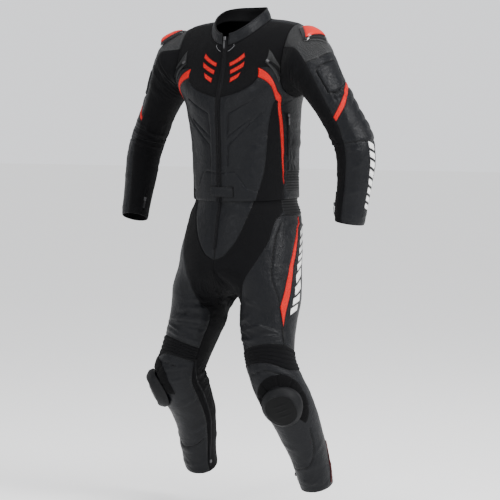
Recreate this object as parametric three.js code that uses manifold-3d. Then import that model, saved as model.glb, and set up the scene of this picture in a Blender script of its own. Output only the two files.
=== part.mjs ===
// Two-piece leather race suit for motorcycling, worn but with no wearer in it: jacket, trousers,
// hard shoulder plates, knee sliders and zips. Millimetres, +Z up, the front of the suit faces -Y,
// the wearer's left is +X. The origin is the middle of the neck base, on the line of the shoulders.
import * as THREE from 'three';
import { mergeVertices } from 'three/addons/utils/BufferGeometryUtils.js';
import Module from 'manifold-3d';

const wasm = await Module();
wasm.setup();

// Driving dimensions
const LEATHER = 2.4;          // hide with its mesh backing
const STRETCH = 2.0;          // elastic fabric with its backing
const SEAM_GAP = 0.3;         // between two pieces that are sewn edge to edge
const SEAT_GAP = 0.45;        // between a piece that lies on a panel and that panel
const ARMHOLE_X = 174;        // the plane in which a sleeve is set in
const ZIP_HALF = 7;           // half the width of the front zip that shows
const SLIDER_HALF = 56;       // knee slider, half its width
const SLIDER_HEIGHT = 58;     // knee slider, half its height
const SLIDER_THICK = 24;      // knee slider, thickness at its middle

const RAD = Math.PI / 180;
const BACK = 180;

const table = (columns, rows) => rows.map(
  (row) => Object.fromEntries(columns.map((name, i) => [name, row[i]])),
);

// Jacket body, one row a section: height of the section at the side, front and back, its middle y,
// half its width, its depth in front and behind, and how square it is (2 is an ellipse).
const TORSO = table(['side', 'front', 'back', 'y', 'half', 'fore', 'aft', 'square'], [
  [-476, -482, -474, 26, 150, 138, 126, 2.20],
  [-410, -414, -410, 24, 150, 139, 122, 2.20],
  [-335, -337, -335, 22, 153, 138, 122, 2.20],
  [-265, -270, -265, 17, 160, 136, 127, 2.25],
  [-205, -222, -207, 11, 170, 132, 128, 2.30],
  [-140, -184, -148, 6, 204, 122, 126, 2.35],
  [-80, -154, -98, 3, 216, 108, 118, 2.40],
  [-34, -128, -56, 2, 211, 98, 108, 2.30],
  [-6, -104, -24, 1, 188, 92, 98, 2.20],
  [5, -84, -4, 0, 150, 88, 90, 2.10],
  [9, -67, 10, 0, 112, 86, 82, 2.00],
  [10, -55, 18, 0, 86, 84, 76, 2.00],
]);
const NECK = TORSO.length - 1;

// Collar, the same columns
const COLLAR = table(['side', 'front', 'back', 'y', 'half', 'fore', 'aft', 'square'], [
  [10, -55, 18, 0, 86, 84, 76, 2.00],
  [25, -38, 38, -1, 77, 81, 76, 2.00],
  [37, -22, 56, -2, 70, 80, 77, 2.00],
]);

// Sleeves below the armhole, for each side: middle of the section, how far the sleeve has turned
// down (tilt), how far the section leans forward, and its reach outwards, inwards, forwards and back.
const ARM_COLUMNS = ['x', 'y', 'z', 'tilt', 'lean', 'outer', 'inner', 'fore', 'aft'];
const ARMS = {
  L: table(ARM_COLUMNS, [
    [216, 2, -96, 22, 0, 72, 82, 88, 96],
    [236, 5, -124, 44, -3, 66, 70, 76, 80],
    [266, 14, -176, 57, -8, 58, 58, 64, 65],
    [303, 28, -246, 64, -6, 54, 50, 57, 56],
    [334, 38, -310, 72, -2, 56, 50, 55, 56],
    [344, 41, -362, 90, 0, 54, 49, 53, 54],
    [340, 42, -425, 97, 0, 48, 47, 49, 49],
    [332, 43, -485, 98, 0, 43, 44, 45, 45],
    [325, 44, -538, 99, 0, 40, 42, 41, 41],
  ]),
  R: table(ARM_COLUMNS, [
    [214, 2, -96, 22, 0, 68, 82, 88, 96],
    [238, 6, -124, 44, -3, 60, 70, 76, 80],
    [272, 16, -176, 56, -8, 50, 56, 65, 66],
    [318, 32, -246, 62, -6, 46, 47, 57, 57],
    [352, 38, -310, 72, 4, 46, 45, 55, 56],
    [366, 32, -362, 86, 14, 46, 46, 52, 54],
    [364, 14, -425, 92, 16, 43, 43, 48, 48],
    [361, -6, -485, 94, 18, 39, 39, 43, 43],
    [356, -26, -538, 94, 20, 37, 37, 40, 40],
  ]),
};
const CUFF = 9;

// Hips, from the waist that is tucked under the jacket down to the level of the crotch
const HIPS = table(['z', 'y', 'half', 'fore', 'aft', 'square'], [
  [-458, 25.6, 144.4, 132.4, 119.4, 2.2],
  [-486, 25.4, 145.2, 132.8, 120.4, 2.2],
  [-520, 21, 160, 137, 125, 2.2],
  [-570, 11, 171, 136, 128, 2.2],
  [-620, 0, 180, 134, 128, 2.2],
  [-668, -10, 186, 130, 122, 2.2],
]);
const CROTCH = HIPS.length - 1;
const CROTCH_DROP = 62;

// Legs, for each side: middle of the section and its reach outwards, inwards, forwards and back
const LEG_COLUMNS = ['x', 'y', 'z', 'outer', 'inner', 'fore', 'aft'];
const LEGS = {
  L: table(LEG_COLUMNS, [
    [102, -22, -750, 90, 74, 98, 98],
    [106, -32, -808, 84, 70, 86, 86],
    [116, -46, -868, 76, 64, 76, 76],
    [134, -58, -925, 70, 64, 70, 70],
    [158, -60, -978, 72, 66, 72, 68],
    [176, -38, -1035, 72, 62, 68, 68],
    [188, -8, -1095, 66, 60, 60, 64],
    [196, 22, -1155, 58, 54, 54, 58],
    [200, 50, -1215, 52, 49, 48, 52],
    [201, 74, -1275, 47, 46, 45, 48],
  ]),
  R: table(LEG_COLUMNS, [
    [110, -24, -750, 92, 72, 100, 98],
    [118, -34, -808, 86, 68, 88, 86],
    [132, -48, -868, 78, 62, 78, 76],
    [150, -60, -922, 72, 62, 72, 70],
    [168, -62, -972, 72, 64, 76, 76],
    [170, -30, -1030, 70, 62, 68, 78],
    [170, 4, -1088, 64, 60, 60, 68],
    [176, 30, -1147, 56, 54, 54, 58],
    [188, 54, -1205, 51, 49, 48, 52],
    [196, 78, -1262, 46, 45, 45, 48],
  ]),
};
const ANKLE = CROTCH + LEGS.L.length;
const HIP_TOP_OF_LEG = new THREE.Vector3(92, -8, -690);

// The largest folds of the worn leather: where each lies (ring or angle as on its form), its half
// length and half width in those units, and how far it stands out.
const FOLDS = {
  arm: table(['angle', 'ring', 'span', 'width', 'rise'], [
    [150, 4.62, 60, 0.16, 3.0],
    [165, 5.02, 62, 0.15, 3.6],
    [150, 5.42, 50, 0.15, 2.6],
    [120, 1.55, 46, 0.30, 3.0],
  ]),
  leg: table(['angle', 'ring', 'span', 'width', 'rise'], [
    [-10, 7.55, 50, 0.20, 3.2],
    [8, 8.05, 60, 0.17, 3.6],
    [250, 9.75, 55, 0.20, 4.0],
    [235, 10.35, 50, 0.18, 3.4],
    [205, 6.05, 50, 0.25, 3.4],
    [20, 13.7, 60, 0.22, 2.2],
  ]),
  torso: table(['angle', 'ring', 'span', 'width', 'rise'], [
    [96, 1.25, 34, 0.26, 2.6],
    [108, 2.15, 30, 0.26, 2.4],
  ]),
};

// Curve through points 0 to count - 1, each found by pointOf, at a position between them
function between(count, position, pointOf) {
  const i = Math.min(Math.max(Math.floor(position), 0), count - 2);
  const t = position - i;
  const p1 = pointOf(i);
  const p2 = pointOf(i + 1);
  const p0 = i > 0 ? pointOf(i - 1) : p1.clone().multiplyScalar(2).sub(p2);
  const p3 = i + 2 < count ? pointOf(i + 2) : p2.clone().multiplyScalar(2).sub(p1);
  const w = [-t + 2 * t * t - t ** 3, 2 - 5 * t * t + 3 * t ** 3, t + 4 * t * t - 3 * t ** 3, t ** 3 - t * t];
  const sum = new THREE.Vector3();
  [p0, p1, p2, p3].forEach((p, k) => sum.addScaledVector(p, w[k] / 2));
  return sum;
}

const rounded = (x, square) => Math.sign(x) * Math.abs(x) ** (2 / square);
const bump = (x) => Math.max(0, 1 - x * x) ** 2;

function foldRise(name, angle, ring) {
  return FOLDS[name].reduce((sum, fold) => {
    const turn = ((angle - fold.angle + 540) % 360) - 180;
    return sum + fold.rise * bump(turn / fold.span) * bump((ring - fold.ring) / fold.width);
  }, 0);
}

// Section of the body or collar at an angle: 0 is the middle of the front, 90 the left side
function bodySection(row, angle) {
  const [s, c] = [Math.sin(angle * RAD), Math.cos(angle * RAD)];
  const across = rounded(s, row.square);
  const along = rounded(c, row.square);
  const tilt = (row.back - row.front) / 2;
  const dip = row.side - (row.front + row.back) / 2;
  const depth = c > 0 ? row.fore : row.aft;
  return new THREE.Vector3(row.half * across, row.y - depth * along, row.side - tilt * c - dip * c * c);
}

const torsoAt = (angle, ring) => between(TORSO.length, ring, (i) => bodySection(TORSO[i], angle));
const collarAt = (angle, ring) => between(COLLAR.length, ring, (i) => bodySection(COLLAR[i], angle));

// Angle at which the body meets a plane x = reach, on the front half of a ring
function angleAtX(ring, reach) {
  let [low, high] = [0, 90];
  for (let i = 0; i < 40; i += 1) {
    const middle = (low + high) / 2;
    if (torsoAt(middle, ring).x < reach) low = middle;
    else high = middle;
  }
  return (low + high) / 2;
}

// Rings where the body is exactly as wide as the armhole plane, below and above
function ringAtWidth(low, high) {
  let [a, b] = [low, high];
  const wide = (ring) => torsoAt(90, ring).x - ARMHOLE_X;
  const rising = wide(b) > wide(a);
  for (let i = 0; i < 40; i += 1) {
    const middle = (a + b) / 2;
    if ((wide(middle) > 0) === rising) b = middle;
    else a = middle;
  }
  return (a + b) / 2;
}
const PIT = ringAtWidth(3, 5);
const SHOULDER = ringAtWidth(9, 8);

// A point of the armhole as angle and ring on the body; around is 0 on top and 90 in front
function armholePlace(around) {
  const ring = (SHOULDER + PIT) / 2 + ((SHOULDER - PIT) / 2) * Math.cos(around * RAD);
  const angle = angleAtX(ring, ARMHOLE_X);
  return [Math.sin(around * RAD) >= 0 ? angle : BACK - angle, ring];
}

const holePoints = new Map();
function armholePoint(around) {
  const key = Math.round((((around % 360) + 360) % 360) * 1e4);
  if (!holePoints.has(key)) {
    const point = torsoAt(...armholePlace(around));
    point.x = ARMHOLE_X;
    holePoints.set(key, point);
  }
  return holePoints.get(key).clone();
}

// Section of a sleeve: around is 0 outside or on top, 90 in front, 180 inside
function sleeveSection(row, around) {
  const [tilt, lean] = [row.tilt * RAD, row.lean * RAD];
  const out = new THREE.Vector3(Math.sin(tilt), 0, Math.cos(tilt));
  const down = new THREE.Vector3(Math.cos(tilt), 0, -Math.sin(tilt));
  const ahead = new THREE.Vector3(0, -Math.cos(lean), 0).addScaledVector(down, -Math.sin(lean));
  const [s, c] = [Math.sin(around * RAD), Math.cos(around * RAD)];
  return new THREE.Vector3(row.x, row.y, row.z)
    .addScaledVector(out, (c > 0 ? row.outer : row.inner) * c)
    .addScaledVector(ahead, (s > 0 ? row.fore : row.aft) * s);
}

const armAt = (side) => (around, ring) => {
  const rows = ARMS[side];
  const sectionAt = (i) => (i ? sleeveSection(rows[i - 1], around) : armholePoint(around));
  const point = between(rows.length + 1, ring, sectionAt);
  return side === 'L' ? point : point.setX(-point.x);
};

// Section of the hips. Angles on the trousers run from -135, the crotch behind, over -45, the middle
// of the front, and 90, the outer side, to 225, the middle of the back.
function hipSection(row, angle) {
  const turn = Math.min(Math.max(((angle + 45) / 270) * 180, 0), 180) * RAD;
  const [s, c] = [Math.sin(turn), Math.cos(turn)];
  return new THREE.Vector3(row.half * rounded(s, row.square),
    row.y - (c > 0 ? row.fore : row.aft) * rounded(c, row.square), row.z);
}

// The ring at the crotch: the hips outside, and the seam between the legs from back to front inside
function crotchSection(angle) {
  const row = HIPS[CROTCH];
  if (angle >= -45) return hipSection(row, angle);
  const turn = Math.PI * ((angle + 135) / 90);
  const y = row.y + (Math.cos(turn) > 0 ? row.aft : row.fore) * Math.cos(turn);
  return new THREE.Vector3(0, y, row.z - CROTCH_DROP * Math.max(Math.sin(turn), 0) ** 1.1);
}

const legFrames = Object.fromEntries(Object.entries(LEGS).map(([side, rows]) => {
  const middles = rows.map((row) => new THREE.Vector3(row.x, row.y, row.z));
  const last = middles.length - 1;
  return [side, middles.map((middle, i) => {
    const above = i ? middles[i - 1] : HIP_TOP_OF_LEG;
    const below = i < last ? middles[i + 1] : middle.clone().multiplyScalar(2).sub(middles[last - 1]);
    const axis = below.clone().sub(above).normalize();
    const out = new THREE.Vector3(1, 0, 0).addScaledVector(axis, -axis.x).normalize();
    const ahead = out.clone().cross(axis);
    return { middle, out, ahead: ahead.y > 0 ? ahead.negate() : ahead };
  })];
}));

function legSection(side, i, angle) {
  const row = LEGS[side][i];
  const { middle, out, ahead } = legFrames[side][i];
  const [s, c] = [Math.sin(angle * RAD), Math.cos(angle * RAD)];
  return middle.clone()
    .addScaledVector(out, (s > 0 ? row.outer : row.inner) * s)
    .addScaledVector(ahead, (c > 0 ? row.fore : row.aft) * c);
}

// Between the legs there are no hips above the crotch, so the curve starts straight there
function hipOrStart(side, i, angle) {
  if (angle >= -45) return hipSection(HIPS[i], angle);
  const along = (angle + 135) / 90;
  const share = (2 * along - 1) ** 2;
  const start = crotchSection(angle).multiplyScalar(2).sub(legSection(side, 0, angle));
  return start.lerp(hipSection(HIPS[i], along > 0.5 ? -45 : 225), share);
}

// Above the crotch the middle of the front and back is shared by both legs, so there the curve runs
// straight on at the crotch, and only further out it already bends into the leg
const OWN_BEND = 40;
function belowCrotch(side, angle) {
  const onward = crotchSection(angle).multiplyScalar(2).sub(hipOrStart(side, CROTCH - 1, angle));
  const away = Math.min(Math.abs(angle + 45), Math.abs(angle - 225), Math.abs(angle + 135));
  const share = Math.min(away / OWN_BEND, 1);
  return onward.lerp(legSection(side, 0, angle), share * share * (3 - 2 * share));
}

const legAt = (side) => (angle, ring) => {
  let turned = angle > 225 + 1e-6 ? angle - 360 : angle;
  if (turned < -135 - 1e-6) turned += 360;
  const point = between(ANKLE + 1, ring, (i) => {
    if (i < CROTCH) return hipOrStart(side, i, turned);
    if (i === CROTCH) return crotchSection(turned);
    return ring < CROTCH ? belowCrotch(side, turned) : legSection(side, i - CROTCH - 1, turned);
  });
  return side === 'L' ? point : point.setX(-point.x);
};

// A form: its points, which way is out, its folds, and where its pieces have to stop
const SHUT = 0.15;
function makeForm(at, folds, limit, { flatEdge = false, split = 0 } = {}) {
  const step = { angle: 0.5, ring: 0.01 };
  const raw = (angle, ring) => {
    const whole = ring < split - 1e-6 ? [-45, 225] : [-Infinity, Infinity];
    const a = at(Math.max(angle - step.angle, whole[0]), ring);
    const b = at(Math.min(angle + step.angle, whole[1]), ring);
    const low = Math.max(ring - step.ring, 0);
    const c = at(angle, low);
    const d = at(angle, ring + step.ring);
    return b.sub(a).cross(d.sub(c)).normalize();
  };
  const probe = at(90, 2.5).sub(at(200, 2.5));
  const out = raw(90, 2.5).dot(probe) > 0 ? 1 : -1;
  return {
    at,
    limit,
    normal(angle, ring) {
      const n = raw(angle, ring).multiplyScalar(out);
      return flatEdge && ring < 1e-6 ? n.setX(0).normalize() : n;
    },
    rise: (angle, ring) => (folds ? foldRise(folds, angle, ring) : 0),
  };
}

const inside = (x, most) => Math.max(-most, Math.min(most, x));
const forms = {
  torso: makeForm(torsoAt, 'torso', (p) => p.setX(inside(p.x, ARMHOLE_X - SHUT))),
  collar: makeForm(collarAt, null, (p) => p),
  armL: makeForm(armAt('L'), 'arm', (p) => p.setX(Math.max(p.x, ARMHOLE_X + SHUT)), { flatEdge: true }),
  armR: makeForm(armAt('R'), 'arm', (p) => p.setX(Math.min(p.x, -ARMHOLE_X - SHUT)), { flatEdge: true }),
  legL: makeForm(legAt('L'), 'leg', (p) => p.setX(Math.max(p.x, SHUT)), { split: CROTCH }),
  legR: makeForm(legAt('R'), 'leg', (p) => p.setX(Math.min(p.x, -SHUT)), { split: CROTCH }),
};

// A seam is a curve on a form, cut into equal stretches. Neighbouring pieces share its points.
function seam(form, places, parts) {
  const fine = [];
  const ends = places.map(([angle, ring]) => new THREE.Vector3(angle, ring, 0));
  const spans = (places.length - 1) * 24;
  for (let i = 0; i <= spans; i += 1) fine.push(between(ends.length, i / 24, (k) => ends[k].clone()));
  const points = fine.map((p) => form.at(p.x, p.y));
  const run = [0];
  for (let i = 1; i < points.length; i += 1) run.push(run[i - 1] + points[i].distanceTo(points[i - 1]));
  const out = [];
  for (let k = 0; k <= parts; k += 1) {
    const want = (run[run.length - 1] * k) / parts;
    let i = 1;
    while (i < run.length - 1 && run[i] < want) i += 1;
    const t = (want - run[i - 1]) / Math.max(run[i] - run[i - 1], 1e-9);
    const p = fine[i - 1].clone().lerp(fine[i], Math.min(Math.max(t, 0), 1));
    out.push([p.x, p.y]);
  }
  return out;
}

const reversed = (points) => [...points].reverse();
const turnedBy = (points, turn) => points.map(([angle, ring]) => [angle + turn, ring]);
const mirrored = (points) => points.map(([angle, ring]) => [360 - angle, ring]);
const joined = (...runs) => runs.flatMap((run, i) => (i ? run.slice(1) : run));

// A patch fills four sides: top and bottom run from left to right, left and right run downwards
function patch(form, { top, bottom, left, right }) {
  const [columns, rows] = [top.length - 1, left.length - 1];
  if (bottom.length !== top.length || right.length !== left.length) throw new Error('patch sides differ');
  const grid = [];
  for (let j = 0; j <= rows; j += 1) {
    const t = j / rows;
    const line = [];
    for (let i = 0; i <= columns; i += 1) {
      const s = i / columns;
      line.push([0, 1].map((k) => (1 - t) * top[i][k] + t * bottom[i][k]
        + (1 - s) * left[j][k] + s * right[j][k]
        - (1 - s) * (1 - t) * top[0][k] - s * (1 - t) * top[columns][k]
        - (1 - s) * t * bottom[0][k] - s * t * bottom[columns][k]));
    }
    grid.push(line);
  }
  return grid.map((line) => line.map(([angle, ring]) => ({
    point: form.at(angle, ring).addScaledVector(form.normal(angle, ring), form.rise(angle, ring)),
    normal: form.normal(angle, ring),
    lift: 0,
  })));
}

// Extra rows on the straight lines between the rows of a patch, every second one raised as a rib
function ribbed(grid, times, height) {
  const rows = [];
  grid.slice(0, -1).forEach((line, j) => {
    for (let k = 0; k < times; k += 1) {
      rows.push(line.map((a, i) => {
        const b = grid[j + 1][i];
        return {
          point: a.point.clone().lerp(b.point, k / times),
          normal: a.normal.clone().lerp(b.normal, k / times).normalize(),
          lift: 0,
        };
      }));
    }
  });
  rows.push(grid[grid.length - 1]);
  return rows.map((line, j) => line.map((cell, i) => ({
    ...cell,
    lift: j % 2 ? height(i / (line.length - 1)) : 0,
  })));
}

// Two triangles for four corners, cut along the diagonal across which they bend least
const CUTS = [[[0, 1, 2], [0, 2, 3]], [[1, 2, 3], [1, 3, 0]]];
const faceNormal = (a, b, c) => b.clone().sub(a).cross(c.clone().sub(a)).normalize();
function flattest(points) {
  const bends = CUTS.map((cut) => {
    const [m, n] = cut.map((face) => faceNormal(...face.map((k) => points[k])));
    return m.dot(n);
  });
  return CUTS[bends[1] > bends[0] + 0.01 ? 1 : 0];
}

// Closed wall of a given thickness under the patches, drawn back from its seams by half the gap
function wallGeometry(grids, thickness, { limit, base = 0, gap = SEAM_GAP / 2 } = {}) {
  const cells = [];
  const index = new Map();
  const find = (cell) => {
    const key = cell.point.toArray().map((x) => Math.round(x * 50)).join();
    if (!index.has(key)) {
      index.set(key, cells.length);
      cells.push({
        point: cell.point.clone(),
        normal: new THREE.Vector3(),
        lift: cell.lift,
        pull: new THREE.Vector3(),
      });
    }
    const found = index.get(key);
    cells[found].normal.add(cell.normal);
    return found;
  };
  const groups = grids.map((grid) => {
    const ids = grid.map((line) => line.map(find));
    const group = [];
    for (let j = 0; j + 1 < ids.length; j += 1) {
      for (let i = 0; i + 1 < ids[0].length; i += 1) {
        const corners = [ids[j][i], ids[j][i + 1], ids[j + 1][i + 1], ids[j + 1][i]];
        flattest(corners.map((k) => cells[k].point)).forEach((face) => {
          const three = face.map((k) => corners[k]);
          if (new Set(three).size === 3) group.push(three);
        });
      }
    }
    return group;
  });
  cells.forEach((cell) => cell.normal.normalize());

  // The faces of each patch are turned so that they look outwards
  const turnOut = (group) => {
    const facing = group.reduce((sum, [a, b, c]) => {
      const n = cells[b].point.clone().sub(cells[a].point).cross(cells[c].point.clone().sub(cells[a].point));
      return sum + n.dot(cells[a].normal);
    }, 0);
    return facing < 0 ? group.map(([a, b, c]) => [c, b, a]) : group;
  };
  const faces = groups.flatMap(turnOut);

  // Edges with one face only are the rim
  const edges = new Map();
  faces.forEach((face) => face.forEach((a, k) => {
    const b = face[(k + 1) % 3];
    if (edges.has(`${b},${a}`)) edges.delete(`${b},${a}`);
    else edges.set(`${a},${b}`, [a, b]);
  }));
  const sides = new Map();
  edges.forEach(([a, b]) => {
    const along = cells[b].point.clone().sub(cells[a].point).normalize();
    [a, b].forEach((k) => {
      const inward = cells[k].normal.clone().cross(along).normalize();
      sides.set(k, [...(sides.get(k) ?? []), inward]);
    });
  });
  sides.forEach(([m, n], k) => {
    const both = m.clone().add(n ?? m);
    cells[k].pull = both.multiplyScalar(gap / Math.max(0.35, 1 + m.dot(n ?? m)));
  });

  const stop = limit ?? ((p) => p);
  const raised = (cell, height) => {
    const drawnIn = cell.point.clone().add(cell.pull);
    return stop(drawnIn.addScaledVector(cell.normal, height));
  };
  const top = base ? base + thickness : 0;
  const outer = cells.map((cell) => raised(cell, top + cell.lift));
  const inner = cells.map((cell) => raised(cell, top - thickness));
  const count = cells.length;
  const triangles = faces.flatMap(([a, b, c]) => [a, b, c, c + count, b + count, a + count]);
  // Both sides of a seam cut their rim along the same diagonal, so that they never cross
  const order = (k) => cells[k].point.z * 1e4 + cells[k].point.y + cells[k].point.x * 1e-3;
  edges.forEach(([a, b]) => {
    if (order(a) < order(b)) triangles.push(b, a, a + count, b, a + count, b + count);
    else triangles.push(b, a, b + count, a, a + count, b + count);
  });
  const geometry = new THREE.BufferGeometry();
  const numbers = [...outer, ...inner].flatMap((p) => p.toArray());
  geometry.setAttribute('position', new THREE.Float32BufferAttribute(numbers, 3));
  geometry.setIndex(triangles);
  return geometry;
}

// Finishes of the suit
const finish = (color, roughness, metalness = 0) => ({ color, roughness, metalness });
const FINISH = {
  leather: finish(0x26272b, 0.52),
  stretch: finish(0x141416, 0.92),
  red: finish(0xe0402f, 0.5),
  tape: finish(0x17181a, 0.8),
  gloss: finish(0x0b0b0d, 0.12),
  redPlate: finish(0xe23a26, 0.3),
  slider: finish(0x2b2c2f, 0.45),
  metal: finish(0x6a6c70, 0.35, 0.9),
};

const suit = new THREE.Group();
function add(name, geometry, look) {
  geometry.computeVertexNormals();
  const material = new THREE.MeshStandardMaterial({ ...FINISH[look], flatShading: true });
  const mesh = new THREE.Mesh(geometry, material);
  mesh.name = name;
  suit.add(mesh);
}
const addWall = (name, form, grids, thickness, look, options = {}) => {
  add(name, wallGeometry(grids, thickness, { limit: form.limit, ...options }), look);
};

// Mirror image of a grid in the middle plane of the suit
const flipPoint = (p) => new THREE.Vector3(-p.x, p.y, p.z);
const flipCell = (cell) => ({ ...cell, point: flipPoint(cell.point), normal: flipPoint(cell.normal) });
const flipGrid = (grid) => grid.map((line) => line.map(flipCell));

// Jacket body: the seams of its left half, as places (angle, ring)
const zipEdge = (ring) => [angleAtX(ring, ZIP_HALF), ring];
const VENT = 115;             // around the armhole, where the side piece reaches it in front
const SIDE_BACK = 245;        // and where the side piece leaves it behind
const evenly = (from, to, parts) => Array.from(
  { length: parts + 1 },
  (_, i) => from + ((to - from) * i) / parts,
);
const holeSeam = (from, to, parts) => evenly(from, to, parts).map(armholePlace);
const YOKE = 4.65;
const hole = {
  front: armholePlace(VENT),
  pit: [90, armholePlace(180)[1]],
  back: armholePlace(SIDE_BACK),
  top: [90, armholePlace(0)[1]],
};
const T = forms.torso;
const body = {
  zipLow: seam(T, [zipEdge(YOKE), zipEdge(3), zipEdge(1.5), zipEdge(0)], 8),
  zipUp: seam(T, [zipEdge(NECK), zipEdge(9), zipEdge(7), zipEdge(YOKE)], 7),
  hemFront: seam(T, [zipEdge(0), [40, 0]], 10),
  hemWedge: seam(T, [[40, 0], [77.6, 0]], 4),
  hemSide: seam(T, [[77.6, 0], [118, 0]], 4),
  hemBack: seam(T, [[118, 0], [242, 0]], 12),
  yokeSeam: seam(T, [zipEdge(YOKE), [16, 5.05], [25, 5.5], [28, 5.95]], 3),
  stripeIn1: seam(T, [[28, 5.95], [42, 5.15], [51, 4.62], [60, 4.12]], 7),
  apex: seam(T, [[60, 4.12], [64, 4.04]], 4),
  stripeIn2: seam(T, [[64, 4.04], [70, 2.7], [74, 1.55], [76.4, 0.65]], 7),
  wedge: seam(T, [[60, 4.12], [55, 2.85], [52, 1.3], [40, 0]], 8),
  belowTip: seam(T, [[76.4, 0.65], [77.6, 0]], 1),
  stripeEnd: seam(T, [[28, 5.95], [28, 6.85]], 1),
  stripeOut: seam(T, [[28, 6.85], [42, 5.6], [54, 4.72], [66, 4.26]], 7),
  stripeBend: seam(T, [[66, 4.26], [68.6, 4.08], [69.8, 3.8]], 4),
  stripeDown: seam(T, [[69.8, 3.8], [76, 2.5], [77.5, 1.55], [78, 0.65]], 7),
  stripeTip: seam(T, [[76.4, 0.65], [78, 0.65]], 1),
  ventEdge: seam(T, [[28, 6.85], [36, 6.55], [44, 6.1], hole.front], 4),
  pitLine: seam(T, [hole.pit, [69.8, 3.8]], 3),
  sideBack: seam(T, [hole.back, [122, 3.4], [118, 2], [118, 0]], 12),
  shoulder: seam(T, [[90, NECK], hole.top], 2),
  neckFront: seam(T, [zipEdge(NECK), [50, NECK]], 3),
  neckSide: seam(T, [[50, NECK], [90, NECK]], 2),
  yokeLine: seam(T, [[50, NECK], [44, 9.6], [35, 8.2], [28, 6.85]], 6),
  neckBack: seam(T, [[90, NECK], [270, NECK]], 8),
  backSeam: seam(T, [hole.back, [150, 5.9], [180, 6.0], [210, 5.9], [360 - hole.back[0], hole.back[1]]], 12),
  holeFront: holeSeam(0, VENT, 6),
  pitFront: holeSeam(VENT, 180, 7),
  pitBack: holeSeam(180, SIDE_BACK, 4),
  holeBack: reversed(holeSeam(SIDE_BACK, 360, 7)),
};
body.holeFront[0] = hole.top;
body.holeBack[0] = hole.top;
body.pitFront[7] = hole.pit;
body.pitBack[0] = hole.pit;

const bodyPatches = {
  jacket_front: [patch(T, {
    top: joined(body.yokeSeam, body.stripeIn1),
    bottom: body.hemFront,
    left: body.zipLow,
    right: body.wedge,
  })],
  jacket_yoke: [patch(T, {
    top: body.neckFront,
    bottom: body.yokeSeam,
    left: body.zipUp,
    right: joined(body.yokeLine, reversed(body.stripeEnd)),
  }), patch(T, {
    top: joined(body.neckSide, body.shoulder),
    bottom: body.ventEdge,
    left: body.yokeLine,
    right: body.holeFront,
  })],
  jacket_side_stretch: [patch(T, {
    top: body.apex,
    bottom: body.hemWedge,
    left: body.wedge,
    right: joined(body.stripeIn2, body.belowTip),
  })],
  jacket_side_stripe: [patch(T, {
    top: body.stripeEnd,
    bottom: body.stripeTip,
    left: joined(body.stripeIn1, body.apex, body.stripeIn2),
    right: joined(body.stripeOut, body.stripeBend, body.stripeDown),
  })],
  jacket_side: [patch(T, {
    top: joined(body.ventEdge, body.pitFront),
    bottom: joined(body.stripeOut, body.stripeBend),
    left: body.pitLine.map(() => body.ventEdge[0]),
    right: body.pitLine,
  }), patch(T, {
    top: body.pitBack,
    bottom: body.hemSide,
    left: joined(body.pitLine, body.stripeDown, reversed(body.stripeTip), body.belowTip),
    right: body.sideBack,
  })],
};
const bodyLooks = {
  jacket_front: ['leather', LEATHER],
  jacket_yoke: ['stretch', STRETCH],
  jacket_side_stretch: ['stretch', STRETCH],
  jacket_side_stripe: ['red', LEATHER],
  jacket_side: ['leather', LEATHER],
};
Object.entries(bodyPatches).forEach(([name, grids]) => {
  const [look, thickness] = bodyLooks[name];
  addWall(`${name}_L`, T, grids, thickness, look);
  addWall(`${name}_R`, T, grids.map(flipGrid), thickness, look);
});

// Back of the jacket: the yoke across the shoulders and the long back panel, each in one piece
addWall('jacket_back', T, [patch(T, {
  top: body.backSeam,
  bottom: body.hemBack,
  left: body.sideBack,
  right: mirrored(body.sideBack),
})], LEATHER, 'leather');
addWall('jacket_back_yoke', T, [patch(T, {
  top: joined(reversed(body.shoulder), body.neckBack, mirrored(body.shoulder)),
  bottom: body.backSeam,
  left: body.holeBack,
  right: mirrored(body.holeBack),
})], LEATHER, 'leather');

// Collar, open in front over the zip
const C = forms.collar;
const neckOpen = angleAtX(NECK, ZIP_HALF);
const COLLAR_OPEN_TOP = 9;
const collarEdge = seam(C, [[COLLAR_OPEN_TOP, 2], [neckOpen, 0]], 2);
const neckHalf = joined(body.neckFront, body.neckSide);
const collarFoot = joined(neckHalf, body.neckBack, reversed(mirrored(neckHalf)));
addWall('collar', C, [patch(C, {
  top: seam(C, [[COLLAR_OPEN_TOP, 2], [360 - COLLAR_OPEN_TOP, 2]], 18),
  bottom: collarFoot.map(([angle]) => [angle, 0]),
  left: collarEdge,
  right: mirrored(collarEdge),
})], LEATHER, 'leather');

// Front zip: the tapes with the raised chain between them, from the hem to the top of the collar
const RAISE_CHAIN = 1.2;
const raisedChain = (grid) => grid.map((line) => line.map((cell, i) => ({
  ...cell,
  lift: i && i < line.length - 1 ? RAISE_CHAIN : 0,
})));
const acrossZip = (half, ring) => [-1, -0.4, 0.4, 1].map((k) => [k * half, ring]);
const opposite = (points) => points.map(([angle, ring]) => [-angle, ring]);
const zipLine = joined(body.zipUp, body.zipLow);
const neckLine = seam(C, [[neckOpen, 1.5], [neckOpen, 0]], 1);
const zipGrids = [
  patch(T, {
    top: acrossZip(neckOpen, NECK),
    bottom: acrossZip(zipEdge(0)[0], 0),
    left: opposite(zipLine),
    right: zipLine,
  }),
  patch(C, {
    top: acrossZip(neckOpen, 1.5),
    bottom: acrossZip(neckOpen, 0),
    left: opposite(neckLine),
    right: neckLine,
  }),
];

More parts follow.
